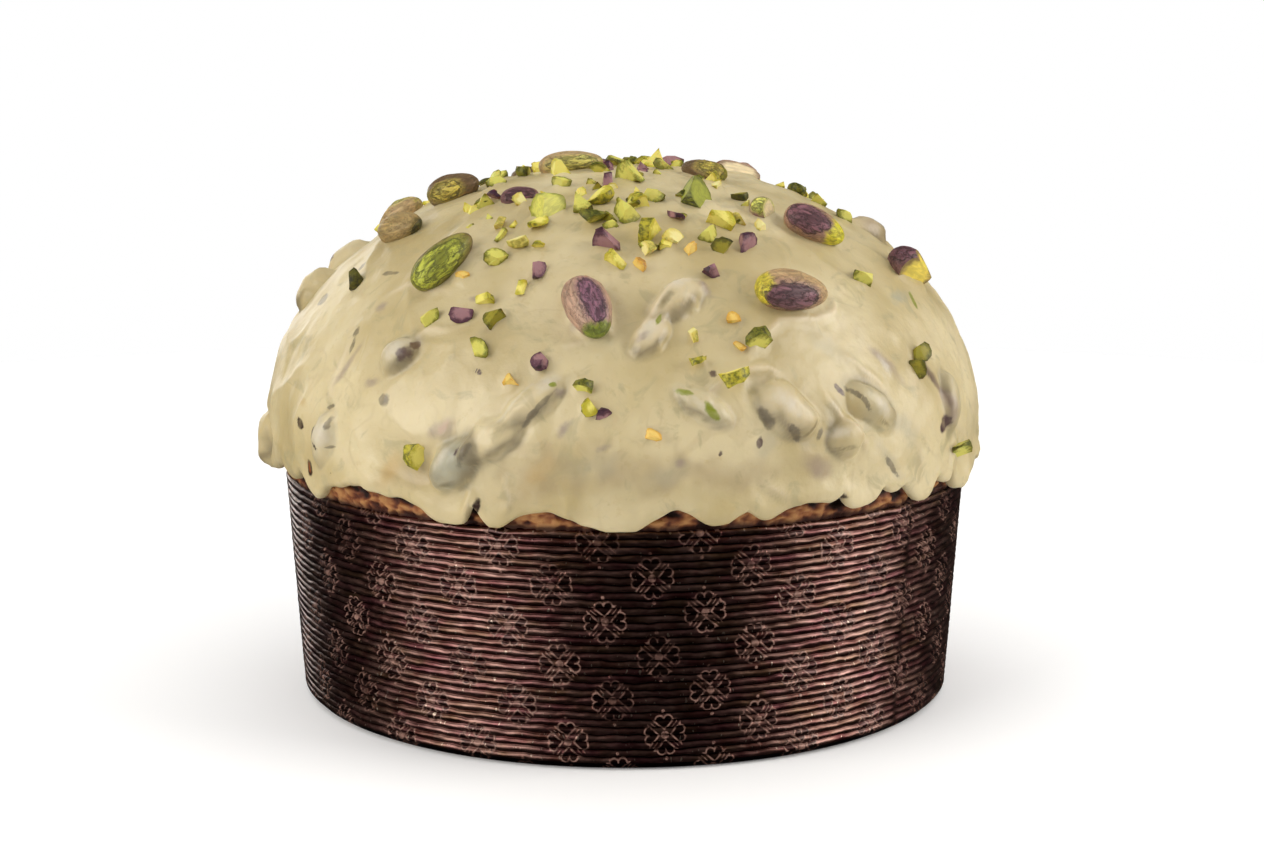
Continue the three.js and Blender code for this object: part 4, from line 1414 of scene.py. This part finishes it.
def scattered_bits():
    """Chunks stood on points, each turned, sized and chosen by the point's own values"""
    book = Book(bpy.data.node_groups.new("scattered bits", "GeometryNodeTree"))
    given = book.inputs({"Places": "Geometry", "Chunks": "Collection", "Size": "Float",
                         "Material": "Material"})
    shapes = book.node("GeometryNodeCollectionInfo", {
        "Collection": given["Chunks"], "Separate Children": True, "Reset Children": True})
    size = book.node("GeometryNodeInputNamedAttribute", {"Name": "size"}, data_type="FLOAT")
    shape = book.node("GeometryNodeInputNamedAttribute", {"Name": "shape"}, data_type="INT")
    turn = book.node("GeometryNodeInputNamedAttribute", {"Name": "turn"}, data_type="FLOAT_VECTOR")
    stood = book.node("GeometryNodeInstanceOnPoints", {
        "Points": given["Places"], "Instance": shapes, "Pick Instance": True,
        "Instance Index": shape, "Rotation": turn, "Scale": size * given["Size"]})
    book.result(stood, given["Material"])
    return book


def bit_places(name, bits, draw):
    """A mesh of bare points, one for each bit, with its turn, size and choice of shape"""
    mesh = bpy.data.meshes.new(name)
    places, turns, shapes = [], [], []
    for turn, climb, size in bits:
        heading = 360 * next(draw)
        place, along, across, outward = glaze_seat(turn, climb, heading, size * mm * BIT_UP)
        tilt = Matrix.Rotation(BIT_TILT * (next(draw) - 0.5), 3, "X")
        axes = Matrix((along, across, outward)).transposed() @ tilt
        places.append(place.tolist())
        turns += axes.to_euler()[:]
        shapes.append(int(CHUNK_SHAPES * next(draw)))
    mesh.from_pydata(places, [], [])
    store(mesh, "turn", "FLOAT_VECTOR", turns, "vector")
    store(mesh, "size", "FLOAT", [size for _, _, size in bits])
    store(mesh, "shape", "INT", shapes)
    return mesh


shelf = chunk_shapes()
scatter = scattered_bits()
draw = numbers_from(SEED + 1)
for look, bits in CHOPPED.items():
    places = bit_places("chopped_" + look, bits, draw)
    chopped = grown("chopped_" + look, scatter, {
        "Chunks": shelf, "Size": BIT_STRETCH * mm, "Material": broken_nut(look)}, places)
    part_of_cake(chopped, "pistachio", "glaze")
for chunk in list(shelf.objects):
    bpy.data.objects.remove(chunk)
bpy.data.collections.remove(shelf)


# The set: a small white floor before a white backdrop, with soft boxes at both sides and above.
# The backdrop lights nothing, and the floor and the ceiling aren't mirrored in the cake's gloss.
FLOOR_RADIUS = 0.7
FLOOR_GLOW = 0.1
BACKDROP_RADIUS = 12
SKY_LOW = 0.01
SKY_HIGH = 0.05
WARM = (1, 0.96, 0.91)


def stage_piece(name, colour, glow, shape, **sizes):
    """A piece of the set, of one of bmesh's shapes, with a plain matt material"""
    mesh = bpy.data.meshes.new(name)
    work = bmesh.new()
    shape(work, **sizes)
    work.to_mesh(mesh)
    work.free()
    piece = placed(name, mesh)
    made, book, surface = material(name)
    book.feed_all(surface, {
        "Base Color": (colour, colour, colour, 1), "Roughness": 0.9, "Specular IOR Level": 0,
        "Emission Color": (1, 1, 1, 1), "Emission Strength": glow})
    mesh.materials.append(made)
    return piece


floor = stage_piece("floor", 0.92, FLOOR_GLOW, bmesh.ops.create_circle,
                    cap_ends=True, segments=96, radius=FLOOR_RADIUS)
floor.visible_glossy = False
backdrop = stage_piece("backdrop", 0, 1, bmesh.ops.create_icosphere,
                       subdivisions=4, radius=BACKDROP_RADIUS)
for way in ("diffuse", "glossy", "transmission", "shadow"):
    setattr(backdrop, "visible_" + way, False)

world = bpy.data.worlds.new("studio")
world.use_nodes = True
bpy.context.scene.world = world
sky = Book(world.node_tree)
_, _, lift = sky.split(sky.node("ShaderNodeTexCoord", output="Generated"))
background = world.node_tree.nodes["Background"].inputs
background["Color"].default_value = (1, 1, 1, 1)
sky.feed(background["Strength"], SKY_LOW + (SKY_HIGH - SKY_LOW) * sky.rise(lift, 0.2, 0.9))


def soft_box(name, turn, height, distance, width, tall, power):
    """A soft box that stands at a turn round the cake and faces its middle"""
    lamp = bpy.data.lights.new(name, "AREA")
    lamp.shape = "RECTANGLE"
    lamp.size = width
    lamp.size_y = tall
    lamp.energy = power
    lamp.color = WARM
    box = placed(name, lamp)
    angle = math.radians(turn)
    box.location = (distance * math.sin(angle), -distance * math.cos(angle), height)
    aim = Vector((0, 0, BELLY_HEIGHT)) - box.location
    box.rotation_euler = aim.to_track_quat("-Z", "Y").to_euler()
    box.visible_camera = False


soft_box("left box", -54, 0.5, 1.1, 0.9, 0.9, 9.5)
soft_box("right box", 78, 0.5, 1.1, 0.8, 0.8, 9.5)
soft_box("back left box", -148, 0.3, 1.2, 0.5, 0.5, 1.6)
sun = bpy.data.lights.new("ceiling", "SUN")
sun.energy = 2.5
sun.angle = math.radians(120)
ceiling = placed("ceiling", sun)
ceiling.rotation_euler = (math.radians(-20), 0, 0)
ceiling.visible_glossy = False
bpy.context.scene.view_settings.view_transform = "Standard"
